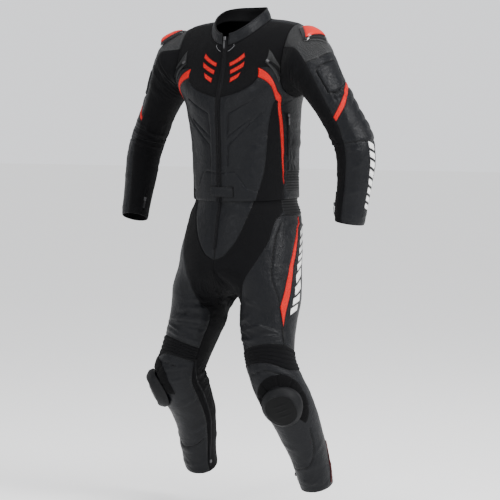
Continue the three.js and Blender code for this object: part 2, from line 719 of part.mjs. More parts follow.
// Solids joined or cut as real booleans
function solidOf(geometry) {
  const bare = geometry.clone();
  ['normal', 'uv'].forEach((name) => bare.deleteAttribute(name));
  const merged = mergeVertices(bare, 1e-4);
  return new wasm.Manifold(new wasm.Mesh({
    numProp: 3,
    vertProperties: new Float32Array(merged.attributes.position.array),
    triVerts: new Uint32Array(merged.index.array),
  }));
}
function geometryOf(solid) {
  const mesh = solid.getMesh();
  const geometry = new THREE.BufferGeometry();
  geometry.setAttribute('position', new THREE.Float32BufferAttribute(mesh.vertProperties, 3));
  geometry.setIndex([...mesh.triVerts]);
  return geometry;
}

// Zip slider: a rounded body with a bridge that holds the pull tab; its frame is the place on the
// zip, with x across the zip, y along it (downwards) and z out of the cloth
const SLIDER = { width: 8, length: 11, height: 3.4, bridge: 2.6, bridgeLength: 6 };
const TAB = { width: 5.2, length: 21, thick: 1.5, eye: 1.1 };
const frameAt = (point, out, down) => {
  const z = out.clone().normalize();
  const y = down.clone().addScaledVector(z, -down.dot(z)).normalize();
  const x = y.clone().cross(z);
  return new THREE.Matrix4().makeBasis(x, y, z).setPosition(point);
};
function bevelledPlate(width, length, height, corner) {
  const shape = new THREE.Shape();
  const [w, l] = [width / 2, length / 2];
  shape.moveTo(-w + corner, -l);
  shape.lineTo(w - corner, -l);
  shape.lineTo(w, -l + corner);
  shape.lineTo(w, l - corner);
  shape.lineTo(w - corner, l);
  shape.lineTo(-w + corner, l);
  shape.lineTo(-w, l - corner);
  shape.lineTo(-w, -l + corner);
  shape.closePath();
  return new THREE.ExtrudeGeometry(shape, { depth: height, bevelEnabled: false });
}
// The strip below may rise above its form by its thickness, its gap and its chain
const sliderBody = (frame, foot) => bevelledPlate(SLIDER.width, SLIDER.length, SLIDER.height, 1.6)
  .translate(0, 0, foot)
  .applyMatrix4(frame);
const sliderBridge = (frame, foot) => bevelledPlate(SLIDER.bridge, SLIDER.bridgeLength, 1.8, 0.6)
  .translate(0, -1, foot + SLIDER.height - 0.4)
  .applyMatrix4(frame);

export const hinges = [];
// The tab hangs from the lower end of the slider and rests on what is under it: it is swung out
// about its hinge, which lies across the zip, until it is free of the zip by a little
const TAB_CLEAR = 0.3;
function pullTab(name, frame, foot, under) {
  const start = SLIDER.length / 2 + TAB.eye;
  const height = foot + SLIDER.height + 0.5;
  const place = (lay) => new THREE.Matrix4().makeTranslation(0, start, height)
    .multiply(new THREE.Matrix4().makeRotationX(lay))
    .multiply(new THREE.Matrix4().makeTranslation(0, TAB.length / 2, -TAB.thick / 2 - TAB_CLEAR));
  const tabAt = (lay) => bevelledPlate(TAB.width, TAB.length, TAB.thick + TAB_CLEAR, 1.2)
    .applyMatrix4(frame.clone().multiply(place(lay)));
  let lay = -0.6;
  while (lay < 1.2 && solidOf(tabAt(lay)).intersect(under).volume() > 1e-3) lay += 0.02;
  const geometry = bevelledPlate(TAB.width, TAB.length, TAB.thick, 1.2)
    .translate(0, 0, TAB_CLEAR).applyMatrix4(frame.clone().multiply(place(lay)));
  add(name, geometry, 'metal');
  const pivot = new THREE.Vector3(0, start, height).applyMatrix4(frame);
  const axis = new THREE.Vector3(1, 0, 0).transformDirection(frame);
  hinges.push({ name, pivot: pivot.toArray(), axis: axis.toArray(), lay: lay / RAD });
}

const placeOn = (form, angle, ring, ringDown) => {
  const point = form.at(angle, ring);
  return frameAt(point, form.normal(angle, ring), form.at(angle, ringDown).sub(point));
};

// The front slider is closed, right up at the top of the zip
const frontFrame = placeOn(C, 0, 1.15, 0.4);
const FRONT_FOOT = RAISE_CHAIN - 0.6;
const frontZip = solidOf(wallGeometry(zipGrids.map(raisedChain), STRETCH))
  .add(solidOf(sliderBody(frontFrame, FRONT_FOOT)))
  .add(solidOf(sliderBridge(frontFrame, FRONT_FOOT)));
add('front_zip', geometryOf(frontZip), 'tape');
pullTab('front_zip_tab', frontFrame, FRONT_FOOT, frontZip);

// What lies on panels is made from their own faces: a ray against the normal finds them
function restOn(panels, cells) {
  const meshes = suit.children.filter((mesh) => panels.includes(mesh.name));
  const ray = new THREE.Raycaster();
  return cells.map((line) => line.map((cell) => {
    ray.set(cell.point.clone().addScaledVector(cell.normal, 30), cell.normal.clone().negate());
    const [hit] = ray.intersectObjects(meshes, false);
    return { ...cell, point: hit && hit.distance < 40 ? hit.point : cell.point };
  }));
}

// A zip that lies on a panel: its strip along the places given, half its width in mm, and a slider
// at the share of its length that the photo shows
const TAPE = 1.0;
function overlayZip(name, form, { places, half, parts, at, tab, panels }) {
  const line = seam(form, places, parts);
  const grid = line.map(([angle, ring]) => {
    const reach = form.at(angle + 1, ring).distanceTo(form.at(angle, ring));
    return [-1, -0.35, 0.35, 1].map((k) => [angle + (k * half) / reach, ring]);
  });
  const cells = grid.map((row) => row.map(([angle, ring]) => ({
    point: form.at(angle, ring).addScaledVector(form.normal(angle, ring), form.rise(angle, ring)),
    normal: form.normal(angle, ring),
    lift: 0,
  })));
  const resting = restOn(panels, cells);
  const strip = wallGeometry([raisedChain(resting)], TAPE, { limit: form.limit, base: SEAT_GAP, gap: 0 });
  const middleOf = (row) => row[1].point.clone().add(row[2].point).divideScalar(2);
  const next = middleOf(resting[at + 1]);
  const here = at ? middleOf(resting[at]) : middleOf(resting[0]).lerp(next, 0.25);
  const frame = frameAt(here, resting[at][1].normal, next.clone().sub(here));
  const foot = SEAT_GAP + TAPE + RAISE_CHAIN - 0.5;
  const whole = solidOf(strip).add(solidOf(sliderBody(frame, foot))).add(solidOf(sliderBridge(frame, foot)));
  add(name, geometryOf(whole), 'tape');
  pullTab(tab, frame, foot, whole);
}

// Pocket zips on the side pieces; the slider is at the top
const pocketPlaces = [[80.5, 3.42], [82.5, 2.6], [83, 1.72]];
['L', 'R'].forEach((side) => overlayZip(`pocket_zip_${side}`, T, {
  places: side === 'L' ? pocketPlaces : opposite(pocketPlaces),
  half: 5,
  parts: 6,
  at: 0,
  tab: `pocket_zip_tab_${side}`,
  panels: [`jacket_side_${side}`],
}));

// Strap that holds the jacket hem down in front
const STRAP_LIFT = RAISE_CHAIN + 0.5;
addWall('hem_strap', T, [patch(T, {
  top: seam(T, [[-9, 0.62], [15.5, 0.6]], 4),
  bottom: seam(T, [[-9, 0.2], [15.5, 0.17]], 4),
  left: seam(T, [[-9, 0.62], [-9, 0.2]], 1),
  right: seam(T, [[15.5, 0.6], [15.5, 0.17]], 1),
})], 1.8, 'leather', { base: STRAP_LIFT, gap: 0 });

// Sleeves, set in at the armhole; around is 0 outside, 90 in front, 180 inside, -70 behind
const ELBOW_RIB = 2.4;
function sleeve(side) {
  const form = forms[`arm${side}`];
  const s = {
    holeOver: seam(form, [[59, 0], [0, 0], [-70, 0]], 6),
    holeUnder: seam(form, [[59, 0], [120, 0], [180, 0], [240, 0], [290, 0]], 8),
    capFront: seam(form, [[59, 0], [66, 1], [70, 1.9]], 3),
    capBack: seam(form, [[-70, 0], [-70, 1.9]], 3),
    capEnd: seam(form, [[70, 1.9], [35, 2.05], [-20, 1.95], [-70, 1.9]], 6),
    armFront: seam(form, [[70, 1.9], [78, 3.1], [82, 4.05]], 4),
    armBack: seam(form, [[-70, 1.9], [-70, 3.0]], 4),
    redUpper: seam(form, [[82, 4.05], [36, 3.65], [-8, 3.22], [-70, 3.0]], 6),
    redFront: seam(form, [[82, 4.05], [80, 4.25]], 1),
    redBack: seam(form, [[-70, 3.0], [-70, 3.2]], 1),
    redLower: seam(form, [[80, 4.25], [36, 3.87], [-8, 3.42], [-70, 3.2]], 6),
    elbowFront: seam(form, [[80, 4.25], [88, 5.2]], 3),
    elbowBack: seam(form, [[-70, 3.2], [-80, 5.2]], 3),
    elbowSeam: seam(form, [[88, 5.2], [0, 5.3], [-80, 5.2]], 6),
    elbowInner: seam(form, [[88, 5.2], [180, 5.05], [280, 5.2]], 8),
    foreFront: seam(form, [[88, 5.2], [100, CUFF]], 6),
    foreBack: seam(form, [[-80, 5.2], [-92, CUFF]], 6),
    cuffOver: seam(form, [[100, CUFF], [-92, CUFF]], 6),
    cuffUnder: seam(form, [[100, CUFF], [268, CUFF]], 8),
  };
  const behind = (...runs) => turnedBy(joined(...runs), 360);
  const pieces = {
    shoulder: ['leather', LEATHER, patch(form, {
      top: s.holeOver, bottom: s.capEnd, left: s.capFront, right: s.capBack,
    })],
    sleeve_top: ['leather', LEATHER, patch(form, {
      top: s.capEnd, bottom: s.redUpper, left: s.armFront, right: s.armBack,
    })],
    sleeve_stripe: ['red', LEATHER, patch(form, {
      top: s.redUpper, bottom: s.redLower, left: s.redFront, right: s.redBack,
    })],
    elbow: ['leather', LEATHER, ribbed(
      patch(form, { top: s.redLower, bottom: s.elbowSeam, left: s.elbowFront, right: s.elbowBack }),
      3,
      (share) => ELBOW_RIB * bump((share - 0.75) / 0.5),
    )],
    forearm: ['leather', LEATHER, patch(form, {
      top: s.elbowSeam, bottom: s.cuffOver, left: s.foreFront, right: s.foreBack,
    })],
    sleeve_under: ['stretch', STRETCH, patch(form, {
      top: s.holeUnder,
      bottom: s.elbowInner,
      left: joined(s.capFront, s.armFront, s.redFront, s.elbowFront),
      right: behind(s.capBack, s.armBack, s.redBack, s.elbowBack),
    })],
    forearm_under: ['stretch', STRETCH, patch(form, {
      top: s.elbowInner,
      bottom: s.cuffUnder,
      left: s.foreFront,
      right: behind(s.foreBack),
    })],
  };
  Object.entries(pieces).forEach(([name, [look, thickness, grid]]) => {
    addWall(`${name}_${side}`, form, [grid], thickness, look);
  });
  overlayZip(`cuff_zip_${side}`, form, {
    places: [[160, 7.55], [160, 8.8]],
    half: 4.5,
    parts: 4,
    at: 2,
    tab: `cuff_zip_tab_${side}`,
    panels: [`forearm_under_${side}`],
  });
}
['L', 'R'].forEach(sleeve);

// A hard plate on a form: local x and y in its tangent plane, z outwards. The back follows the form
// where it has to, and otherwise the plate's own hollow.
function plateFrame(form, angle, ring) {
  const point = form.at(angle, ring);
  const z = form.normal(angle, ring);
  const across = form.at(angle + 1, ring).sub(form.at(angle - 1, ring)).divideScalar(2);
  const along = form.at(angle, ring + 0.02).sub(form.at(angle, ring - 0.02)).divideScalar(0.04);
  const y = along.clone().addScaledVector(z, -along.dot(z)).normalize().negate();
  const x = y.clone().cross(z);
  // Height of the form over the tangent plane at a local place, found by a few Newton steps
  const height = (a, b) => {
    let [u, v] = [angle, ring];
    for (let i = 0; i < 12; i += 1) {
      const p = form.at(u, v).sub(point);
      const [da, db] = [a - p.dot(x), b - p.dot(y)];
      const [ax, ay, bx, by] = [across.dot(x), across.dot(y), along.dot(x), along.dot(y)];
      const det = ax * by - bx * ay;
      u += (0.7 * (da * by - db * bx)) / det;
      v += (0.7 * (db * ax - da * ay)) / det;
    }
    return form.at(u, v).sub(point).dot(z) + form.rise(u, v);
  };
  return { matrix: new THREE.Matrix4().makeBasis(x, y, z).setPosition(point), height };
}

// Closed plate over an outline given as a radius at each turn; top and back are heights at (x, y, share)
function plateGeometry(rings, sectors, radius, top, back) {
  const points = [];
  [top, back].forEach((heightAt) => {
    points.push([0, 0, heightAt(0, 0, 0)]);
    rings.forEach((share) => {
      for (let k = 0; k < sectors; k += 1) {
        const turn = (2 * Math.PI * k) / sectors;
        const [x, y] = [share * radius(turn)[0], share * radius(turn)[1]];
        points.push([x, y, heightAt(x, y, share)]);
      }
    });
  });
  const half = 1 + rings.length * sectors;
  const triangles = [];
  const at = (layer, ring, k) => layer * half + 1 + ring * sectors + (k % sectors);
  [0, 1].forEach((layer) => {
    const put = (a, b, c) => triangles.push(...(layer ? [c, b, a] : [a, b, c]));
    for (let k = 0; k < sectors; k += 1) {
      put(layer * half, at(layer, 0, k), at(layer, 0, k + 1));
      for (let r = 0; r + 1 < rings.length; r += 1) {
        put(at(layer, r, k), at(layer, r + 1, k), at(layer, r + 1, k + 1));
        put(at(layer, r, k), at(layer, r + 1, k + 1), at(layer, r, k + 1));
      }
    }
  });
  const rim = rings.length - 1;
  for (let k = 0; k < sectors; k += 1) {
    triangles.push(at(0, rim, k), at(1, rim, k), at(1, rim, k + 1));
    triangles.push(at(0, rim, k), at(1, rim, k + 1), at(0, rim, k + 1));
  }
  const geometry = new THREE.BufferGeometry();
  geometry.setAttribute('position', new THREE.Float32BufferAttribute(points.flat(), 3));
  geometry.setIndex(triangles);
  return geometry;
}

// Shoulder cup: a hard gloss dome with three rounded corners, and the red plate on its upper part
const CUP = { across: 46, along: 40, rise: 11, edge: 3 };
const cupOutline = (turn) => {
  const swell = 1 + 0.1 * Math.cos(3 * turn + 0.6);
  return [CUP.along * swell * Math.cos(turn), CUP.across * swell * Math.sin(turn)];
};
const CUP_PLACE = { angle: 8, ring: 0.98 };
const RED = { size: 0.62, thick: 2.2, gap: 0.9 };
['L', 'R'].forEach((side) => {
  const form = forms[`arm${side}`];
  const hand = side === 'L' ? 1 : -1;
  const { matrix, height } = plateFrame(form, CUP_PLACE.angle, CUP_PLACE.ring);
  const outline = (turn) => cupOutline(turn).map((x, i) => (i ? x : hand * x));
  const seat = (x, y) => height(x, y) + 1.1;
  const top = (x, y, share) => seat(x, y) + CUP.edge + CUP.rise * (1 - share ** 2.6);
  const cup = plateGeometry([0.35, 0.7, 0.9, 1], 20, outline, top, seat);
  const plateTurn = (turn) => outline(turn).map((x) => x * RED.size);
  const shareOf = (x, y) => {
    const turn = Math.atan2(y / CUP.across, (hand * x) / CUP.along);
    const [a, b] = cupOutline(turn);
    return Math.hypot(x, y) / Math.hypot(a, b);
  };
  const redSeat = (x, y) => top(x, y, Math.min(shareOf(x, y), 1)) + RED.gap;
  const red = plateGeometry([0.5, 1], 16, plateTurn, (x, y) => redSeat(x, y) + RED.thick, redSeat);
  if (side === 'R') [cup, red].forEach((g) => g.setIndex([...g.index.array].reverse()));
  add(`shoulder_cup_${side}`, cup.applyMatrix4(matrix), 'gloss');
  add(`shoulder_plate_${side}`, red.applyMatrix4(matrix), 'redPlate');
});

// Trousers: seams of one leg, in the angles of the hips and legs
const RIB = 2.6;
const SIDE_SEAM = 135;
const KNEE_TOP = 8.4;
function leg(side) {
  const form = forms[`leg${side}`];
  const s = {
    waistFly: seam(form, [[-45, 0], [15, 0]], 3),
    waistStretch: seam(form, [[15, 0], [69, 0]], 3),
    waistHip: seam(form, [[69, 0], [SIDE_SEAM, 0]], 8),
    waistSeat: seam(form, [[SIDE_SEAM, 0], [225, 0]], 4),
    flyCentre: seam(form, [[-45, 0], [-45, 4.45]], 5),
    flyEdge: seam(form, [[15, 0], [12, 1], [-13, 3.1], [-33, 4.2]], 5),
    flyBottom: seam(form, [[-45, 4.45], [-33, 4.2]], 3),
    centreLow: seam(form, [[-45, 4.45], [-45, 5]], 1),
    groin: seam(form, [[-45, 5], [-17, 5.85]], 3),
    crotch: seam(form, [[-45, 5], [-90, 5], [-135, 5]], 6),
    hipEdge: seam(form, [[69, 0], [67, 1.5], [57, 2.0]], 2),
    thighFront1: seam(form, [[57, 2.0], [45, 2.4], [34, 3.3], [20, 4.1], [3, 5.05], [-17, 5.85]], 7),
    thighFront2: seam(form, [[-17, 5.85], [-40, 6.4], [-63, 6.85], [-65, 8.35]], 5),
    hipLineA: seam(form, [[57, 2.0], [78, 1.95], [101, 2.1]], 5),
    redTop: seam(form, [[101, 2.1], [106, 2.1]], 1),
    hipLineB: seam(form, [[106, 2.1], [SIDE_SEAM, 2.05]], 2),
    redLeft: seam(form, [[101, 2.1], [57, 6.6]], 9),
    redRight: seam(form, [[106, 2.1], [73, 6.4], [67, 7.55]], 9),
    redBottom: seam(form, [[57, 6.6], [67, 7.55]], 1),
    belowTip: seam(form, [[67, 7.55], [69, 8.45]], 2),
    ribTopA: seam(form, [[-65, 8.35], [19, 8.35], [69, 8.45]], 5),
    ribTopB: seam(form, [[69, 8.45], [97, 8.6], [SIDE_SEAM, 8.7]], 2),
    ribIn: seam(form, [[-65, 8.35], [-65, 8.95]], 3),
    ribOut: seam(form, [[SIDE_SEAM, 8.7], [SIDE_SEAM, 9.85]], 3),
    ribBottom: seam(form, [[-65, 8.95], [13, 9.05], [79, 9.65], [SIDE_SEAM, 9.85]], 7),
    hipSide: seam(form, [[SIDE_SEAM, 0], [SIDE_SEAM, 2.05]], 2),
    thighSide: seam(form, [[SIDE_SEAM, 2.05], [SIDE_SEAM, 8.7]], 11),
    centreBack: seam(form, [[225, 0], [225, 5]], 8),
    thighBack: seam(form, [[-135, 5], [-135, 7], [-125, 9.8]], 8),
    kneeBackIn: seam(form, [[-65, 8.95], [-95, 9.6], [-125, 9.8]], 9),
    kneeBackOut: seam(form, [[SIDE_SEAM, 9.85], [235, 9.8]], 4),
    calfIn: seam(form, [[-65, 8.95], [-68, 11], [-65, ANKLE]], 9),
    calfOut: seam(form, [[SIDE_SEAM, 9.85], [125, 11], [122, ANKLE]], 9),
    ankleFront: seam(form, [[-65, ANKLE], [122, ANKLE]], 7),
    ankleBack: seam(form, [[122, ANKLE], [295, ANKLE]], 13),
  };
  const round = (run) => turnedBy(run, 360);
  const hip = patch(form, {
    top: s.waistHip, bottom: joined(s.hipLineA, s.redTop, s.hipLineB), left: s.hipEdge, right: s.hipSide,
  });
  const thighFront = patch(form, {
    top: s.hipLineA,
    bottom: s.ribTopA,
    left: joined(s.thighFront1, s.thighFront2),
    right: joined(s.redLeft, s.redBottom, s.belowTip),
  });
  const thighSide = patch(form, {
    top: s.hipLineB, bottom: s.ribTopB, left: joined(s.redRight, s.belowTip), right: s.thighSide,
  });
  const pieces = {
    fly: ['leather', LEATHER, [patch(form, {
      top: s.waistFly, bottom: s.flyBottom, left: s.flyCentre, right: s.flyEdge,
    })]],
    thigh_stretch: ['stretch', STRETCH, [patch(form, {
      top: s.waistStretch,
      bottom: s.groin,
      left: joined(s.flyEdge, reversed(s.flyBottom), s.centreLow),
      right: joined(s.hipEdge, s.thighFront1),
    }), patch(form, {
      top: joined(reversed(s.groin), s.crotch),
      bottom: s.kneeBackIn,
      left: joined(s.thighFront2, s.ribIn),
      right: s.thighBack,
    })]],
    thigh: ['leather', LEATHER, [hip, thighFront, thighSide]],
    thigh_stripe: ['red', LEATHER, [patch(form, {
      top: s.redTop, bottom: s.redBottom, left: s.redLeft, right: s.redRight,
    })]],
    knee_ribs: ['stretch', STRETCH, [ribbed(patch(form, {
      top: joined(s.ribTopA, s.ribTopB), bottom: s.ribBottom, left: s.ribIn, right: s.ribOut,
    }), 3, () => RIB)]],
    shin: ['leather', LEATHER, [patch(form, {
      top: s.ribBottom, bottom: s.ankleFront, left: s.calfIn, right: s.calfOut,
    })]],
    calf: ['stretch', STRETCH, [patch(form, {
      top: joined(s.kneeBackOut, reversed(round(s.kneeBackIn))),
      bottom: s.ankleBack,
      left: s.calfOut,
      right: round(s.calfIn),
    })]],
  };
  Object.entries(pieces).forEach(([name, [look, thickness, grids]]) => {
    addWall(`${name}_${side}`, form, grids, thickness, look);
  });
  return patch(form, {
    top: s.waistSeat,
    bottom: s.kneeBackOut,
    left: joined(s.hipSide, s.thighSide, s.ribOut),
    right: joined(s.centreBack, round(s.thighBack)),
  });
}
const seatHalves = ['L', 'R'].map(leg);
addWall('seat', { limit: null }, seatHalves, LEATHER, 'leather');

// Fly zip on the two fly pieces
const flyAt = (reach, ring) => {
  const point = forms.legL.at(-45, ring);
  const n = forms.legL.normal(-44, ring).setX(0).normalize();
  return { point: point.setX(reach), normal: n, lift: 0 };
};
const FLY_RINGS = [0.95, 1.5, 2.1, 2.7, 3.3, 3.8];
const flyGrid = FLY_RINGS.map((ring) => [-4.5, -1.5, 1.5, 4.5].map((x) => flyAt(x, ring)));
const flyRest = restOn(['fly_L', 'fly_R'], flyGrid);
add('fly_zip', wallGeometry([raisedChain(flyRest)], TAPE, { base: SEAT_GAP, gap: 0 }), 'tape');

// Knee sliders: an egg-shaped puck of hard plastic on the outer front of each knee
const SLIDER_PLACE = { L: { angle: 27, ring: 10.75 }, R: { angle: 44, ring: 10.5 } };
const sliderOutline = (turn) => [SLIDER_HALF * Math.cos(turn) * (1 + 0.06 * Math.sin(turn)),
  SLIDER_HEIGHT * Math.sin(turn)];
const SLIDER_BEND = { across: 115, along: 260 };
const SLIDER_EDGE = { thick: 11, from: 0.72 };
const sliderHollow = (x, y) => -(x * x) / (2 * SLIDER_BEND.across) - (y * y) / (2 * SLIDER_BEND.along);
Object.entries(SLIDER_PLACE).forEach(([side, { angle, ring }]) => {
  const { matrix, height } = plateFrame(forms[`leg${side}`], angle, ring);
  const back = (x, y) => Math.max(sliderHollow(x, y), height(x, y)) + 0.9;
  const top = (x, y, share) => {
    const fall = Math.max(0, (share - SLIDER_EDGE.from) / (1 - SLIDER_EDGE.from)) ** 1.6;
    return sliderHollow(x, y) * 0.8 + SLIDER_THICK + (SLIDER_EDGE.thick - SLIDER_THICK) * fall;
  };
  const geometry = plateGeometry([0.3, 0.55, 0.74, 0.86, 0.95, 1], 24, sliderOutline, top, back);
  add(`knee_slider_${side}`, geometry.applyMatrix4(matrix), 'slider');
});

export default suit;
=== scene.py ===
import math

import bpy
import numpy as np
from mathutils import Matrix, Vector


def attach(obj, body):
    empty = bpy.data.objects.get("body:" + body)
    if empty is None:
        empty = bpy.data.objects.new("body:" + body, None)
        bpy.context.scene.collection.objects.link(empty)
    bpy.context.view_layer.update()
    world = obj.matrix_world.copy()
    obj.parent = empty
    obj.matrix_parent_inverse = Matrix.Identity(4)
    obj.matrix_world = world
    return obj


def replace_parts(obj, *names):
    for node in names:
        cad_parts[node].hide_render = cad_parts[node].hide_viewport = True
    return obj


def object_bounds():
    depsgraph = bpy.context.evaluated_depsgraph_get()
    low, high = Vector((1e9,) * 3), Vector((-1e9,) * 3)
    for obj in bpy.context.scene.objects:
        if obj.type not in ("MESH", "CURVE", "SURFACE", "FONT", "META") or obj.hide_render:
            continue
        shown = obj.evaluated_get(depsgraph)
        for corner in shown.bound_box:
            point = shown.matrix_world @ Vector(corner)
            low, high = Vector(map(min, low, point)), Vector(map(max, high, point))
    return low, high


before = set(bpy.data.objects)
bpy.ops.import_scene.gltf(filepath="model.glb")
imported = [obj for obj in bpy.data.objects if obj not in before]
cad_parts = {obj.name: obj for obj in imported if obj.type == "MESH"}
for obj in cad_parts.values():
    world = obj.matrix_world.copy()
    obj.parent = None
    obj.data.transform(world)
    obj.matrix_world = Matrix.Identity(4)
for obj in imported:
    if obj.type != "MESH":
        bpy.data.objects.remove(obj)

cad_low, cad_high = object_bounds()


# Shader sums: a wrapped socket on which Python's arithmetic adds Math nodes, and a finish that makes
# every other node by one method. All the materials below are written with the two.
class Value:
    def __init__(self, finish, socket):
        self.finish = finish
        self.socket = socket

    def math(self, operation, *others):
        inputs = {i: x for i, x in enumerate((self, *others))}
        return self.finish.node("Math", {"operation": operation}, inputs)

    def swapped(self, operation, other):
        return self.finish.node("Math", {"operation": operation}, {0: other, 1: self})

    def __add__(self, other):
        return self.math("ADD", other)

    def __radd__(self, other):
        return self.swapped("ADD", other)

    def __sub__(self, other):
        return self.math("SUBTRACT", other)

    def __rsub__(self, other):
        return self.swapped("SUBTRACT", other)

    def __mul__(self, other):
        return self.math("MULTIPLY", other)

    def __rmul__(self, other):
        return self.swapped("MULTIPLY", other)

    def __truediv__(self, other):
        return self.math("DIVIDE", other)

    def __rtruediv__(self, other):
        return self.swapped("DIVIDE", other)

    def __pow__(self, other):
        return self.math("POWER", other)

    def abs(self):
        return self.math("ABSOLUTE")

    def most(self, other):
        return self.math("MAXIMUM", other)

    def least(self, other):
        return self.math("MINIMUM", other)

    def clear(self):
        return self.most(0.0).least(1.0)

    def wave(self, length):
        return (self * (2 * math.pi / length)).math("SINE")


class Finish:
    def __init__(self, name, settled=None):
        self.material = bpy.data.materials.new(name)
        self.material.use_nodes = True
        self.tree = self.material.node_tree
        self.shader = self.tree.nodes["Principled BSDF"]
        for key, value in (settled or {}).items():
            self.shader.inputs[key].default_value = value

    def node(self, kind, settings=None, inputs=None, out=0):
        node = self.tree.nodes.new("ShaderNode" + kind)
        for key, value in (settings or {}).items():
            if key == "stops":
                ramp = node.color_ramp.elements
                while len(ramp) < len(value):
                    ramp.new(0.5)
                for element, (place, colour) in zip(ramp, value):
                    element.position = place
                    element.color = colour
            else:
                setattr(node, key, value)
        for key, value in (inputs or {}).items():
            socket = node.inputs[key]
            if isinstance(value, Value):
                self.tree.links.new(value.socket, socket)
            else:
                socket.default_value = value
        return Value(self, node.outputs[out])

    def place(self):
        return self.node("TexCoord", out="Object")

    def kept(self, name):
        return self.node("Attribute", {"attribute_name": name}, out="Fac")

    def on_panel(self, axis):
        """Metres across (0) or down (1) a panel, from its own UV map."""
        return self.node("SeparateXYZ", inputs={0: self.node("UVMap", {"uv_map": "cloth"})}, out=axis)

    def noise(self, size, detail=2.0, rough=0.5, stretch=(1, 1, 1), twist=0.0):
        moved = self.node("Mapping", inputs={"Vector": self.place(), "Scale": stretch})
        return self.node("TexNoise", inputs={
            "Vector": moved, "Scale": 1 / size, "Detail": detail, "Roughness": rough, "Distortion": twist,
        })

    def blend(self, share, first, second):
        return self.node("Mix", {"data_type": "RGBA"}, {0: share, 6: first, 7: second}, out=2)

    def set(self, colour=None, roughness=None, height=None, coat=None):
        """Colour, roughness and height (in mm over the surface) go to the shader."""
        wanted = {"Base Color": colour, "Roughness": roughness, "Coat Weight": coat}
        for key, value in wanted.items():
            if isinstance(value, Value):
                self.tree.links.new(value.socket, self.shader.inputs[key])
            elif value is not None:
                self.shader.inputs[key].default_value = value
        if height is not None:
            normal = self.node("Bump", inputs={"Height": height, "Distance": 0.001, "Strength": 1.0})
            self.tree.links.new(normal.socket, self.shader.inputs["Normal"])
        return self.material


# Studio: a pale floor a foot's height under the ankle hems, the camera of the photograph (34 degrees
# round to the wearer's left, at breast height, from 5.4 m) and large soft lamps.
FOOT = 0.085
AIM = Vector((0.0186, 0.0125, -0.622))
AZIMUTH, ELEVATION = math.radians(34), math.radians(4)
DISTANCE = 5.4
LENS = 138.9
TOWARDS_CAMERA = Vector((
    math.sin(AZIMUTH) * math.cos(ELEVATION),
    -math.cos(AZIMUTH) * math.cos(ELEVATION),
    math.sin(ELEVATION),
))
SIDEWAYS = Vector((math.cos(AZIMUTH), math.sin(AZIMUTH), 0))
UPWARDS = Vector((0, 0, 1))

camera = bpy.data.objects.new("camera", bpy.data.cameras.new("camera"))
bpy.context.scene.collection.objects.link(camera)
camera.data.lens = LENS
camera.location = AIM + TOWARDS_CAMERA * DISTANCE
camera.rotation_euler = (-TOWARDS_CAMERA).to_track_quat("-Z", "Y").to_euler()
bpy.context.scene.camera = camera

# Lamps: sideways, towards the camera and up from the middle of the suit in metres, size, watts
LAMPS = {
    "key": (2.7, 2.3, 1.7, 1.2, 165),
    "fill": (-2.4, 2.8, 1.1, 1.4, 44),
    "top": (0.3, 0.9, 2.7, 1.2, 66),
    "edge_right": (2.6, -1.8, 0.9, 1.6, 12),
    "edge_left": (-2.6, -1.6, 0.9, 1.6, 8),
}
for name, (sideways, nearer, up, size, watts) in LAMPS.items():
    lamp = bpy.data.objects.new(f"lamp_{name}", bpy.data.lights.new(f"lamp_{name}", "AREA"))
    lamp.data.shape = "DISK"
    lamp.data.size = size
    lamp.data.energy = watts
    spot = AIM + SIDEWAYS * sideways + TOWARDS_CAMERA * nearer + UPWARDS * up
    lamp.location = spot
    lamp.rotation_euler = (AIM - spot).to_track_quat("-Z", "Y").to_euler()
    bpy.context.scene.collection.objects.link(lamp)

# The backdrop is seen as a pale grey, and lights the suit less, as with dark screens beside it
BACKDROP_SEEN, BACKDROP_LIGHT = 1.32, 0.66
world = bpy.data.worlds.new("studio")
world.use_nodes = True
studio = world.node_tree
background = studio.nodes["Background"]
background.inputs["Color"].default_value = (0.96, 0.97, 1.0, 1)
light_path = studio.nodes.new("ShaderNodeLightPath")
strength = studio.nodes.new("ShaderNodeMapRange")
strength.inputs["To Min"].default_value = BACKDROP_LIGHT
strength.inputs["To Max"].default_value = BACKDROP_SEEN
studio.links.new(light_path.outputs["Is Camera Ray"], strength.inputs["Value"])
studio.links.new(strength.outputs["Result"], background.inputs["Strength"])
bpy.context.scene.world = world

floor_mesh = bpy.data.meshes.new("floor")
FLOOR_HALF = 30.0
floor_z = cad_low[2] - FOOT
corners = [(x * FLOOR_HALF, y * FLOOR_HALF, floor_z) for x, y in ((-1, -1), (1, -1), (1, 1), (-1, 1))]
floor_mesh.from_pydata(corners, [], [(0, 1, 2, 3)])
floor = bpy.data.objects.new("floor", floor_mesh)
bpy.context.scene.collection.objects.link(floor)
paper = Finish("paper", {"Roughness": 0.9, "Emission Color": (1, 1, 1, 1), "Emission Strength": 0.62})
floor_mesh.materials.append(paper.set(
    colour=paper.blend(paper.noise(1.5), (0.86, 0.86, 0.86, 1), (0.90, 0.90, 0.90, 1)),
))


# Leather and stretch fabric of the suit: cowhide about 1.3 mm thick with a fine grain, soft creases
# and two rows of stitches along each seam, and matt elastic fabric in a fine rib knit.
STITCH_ROWS = (2.6, 6.6)
STITCH_PITCH = 3.4
PRESSED_PITCH = 0.0042
CELLS_A_METRE = 720.0
KNIT_RIB = 0.0016
KNIT_LOOP = 0.0011
LINING = (0.0035, 0.0035, 0.004, 1)
INSERT_FABRIC = (0.0045, 0.0046, 0.0052, 1)


def shade(colour, share):
    return tuple(x * share for x in colour) + (1,)


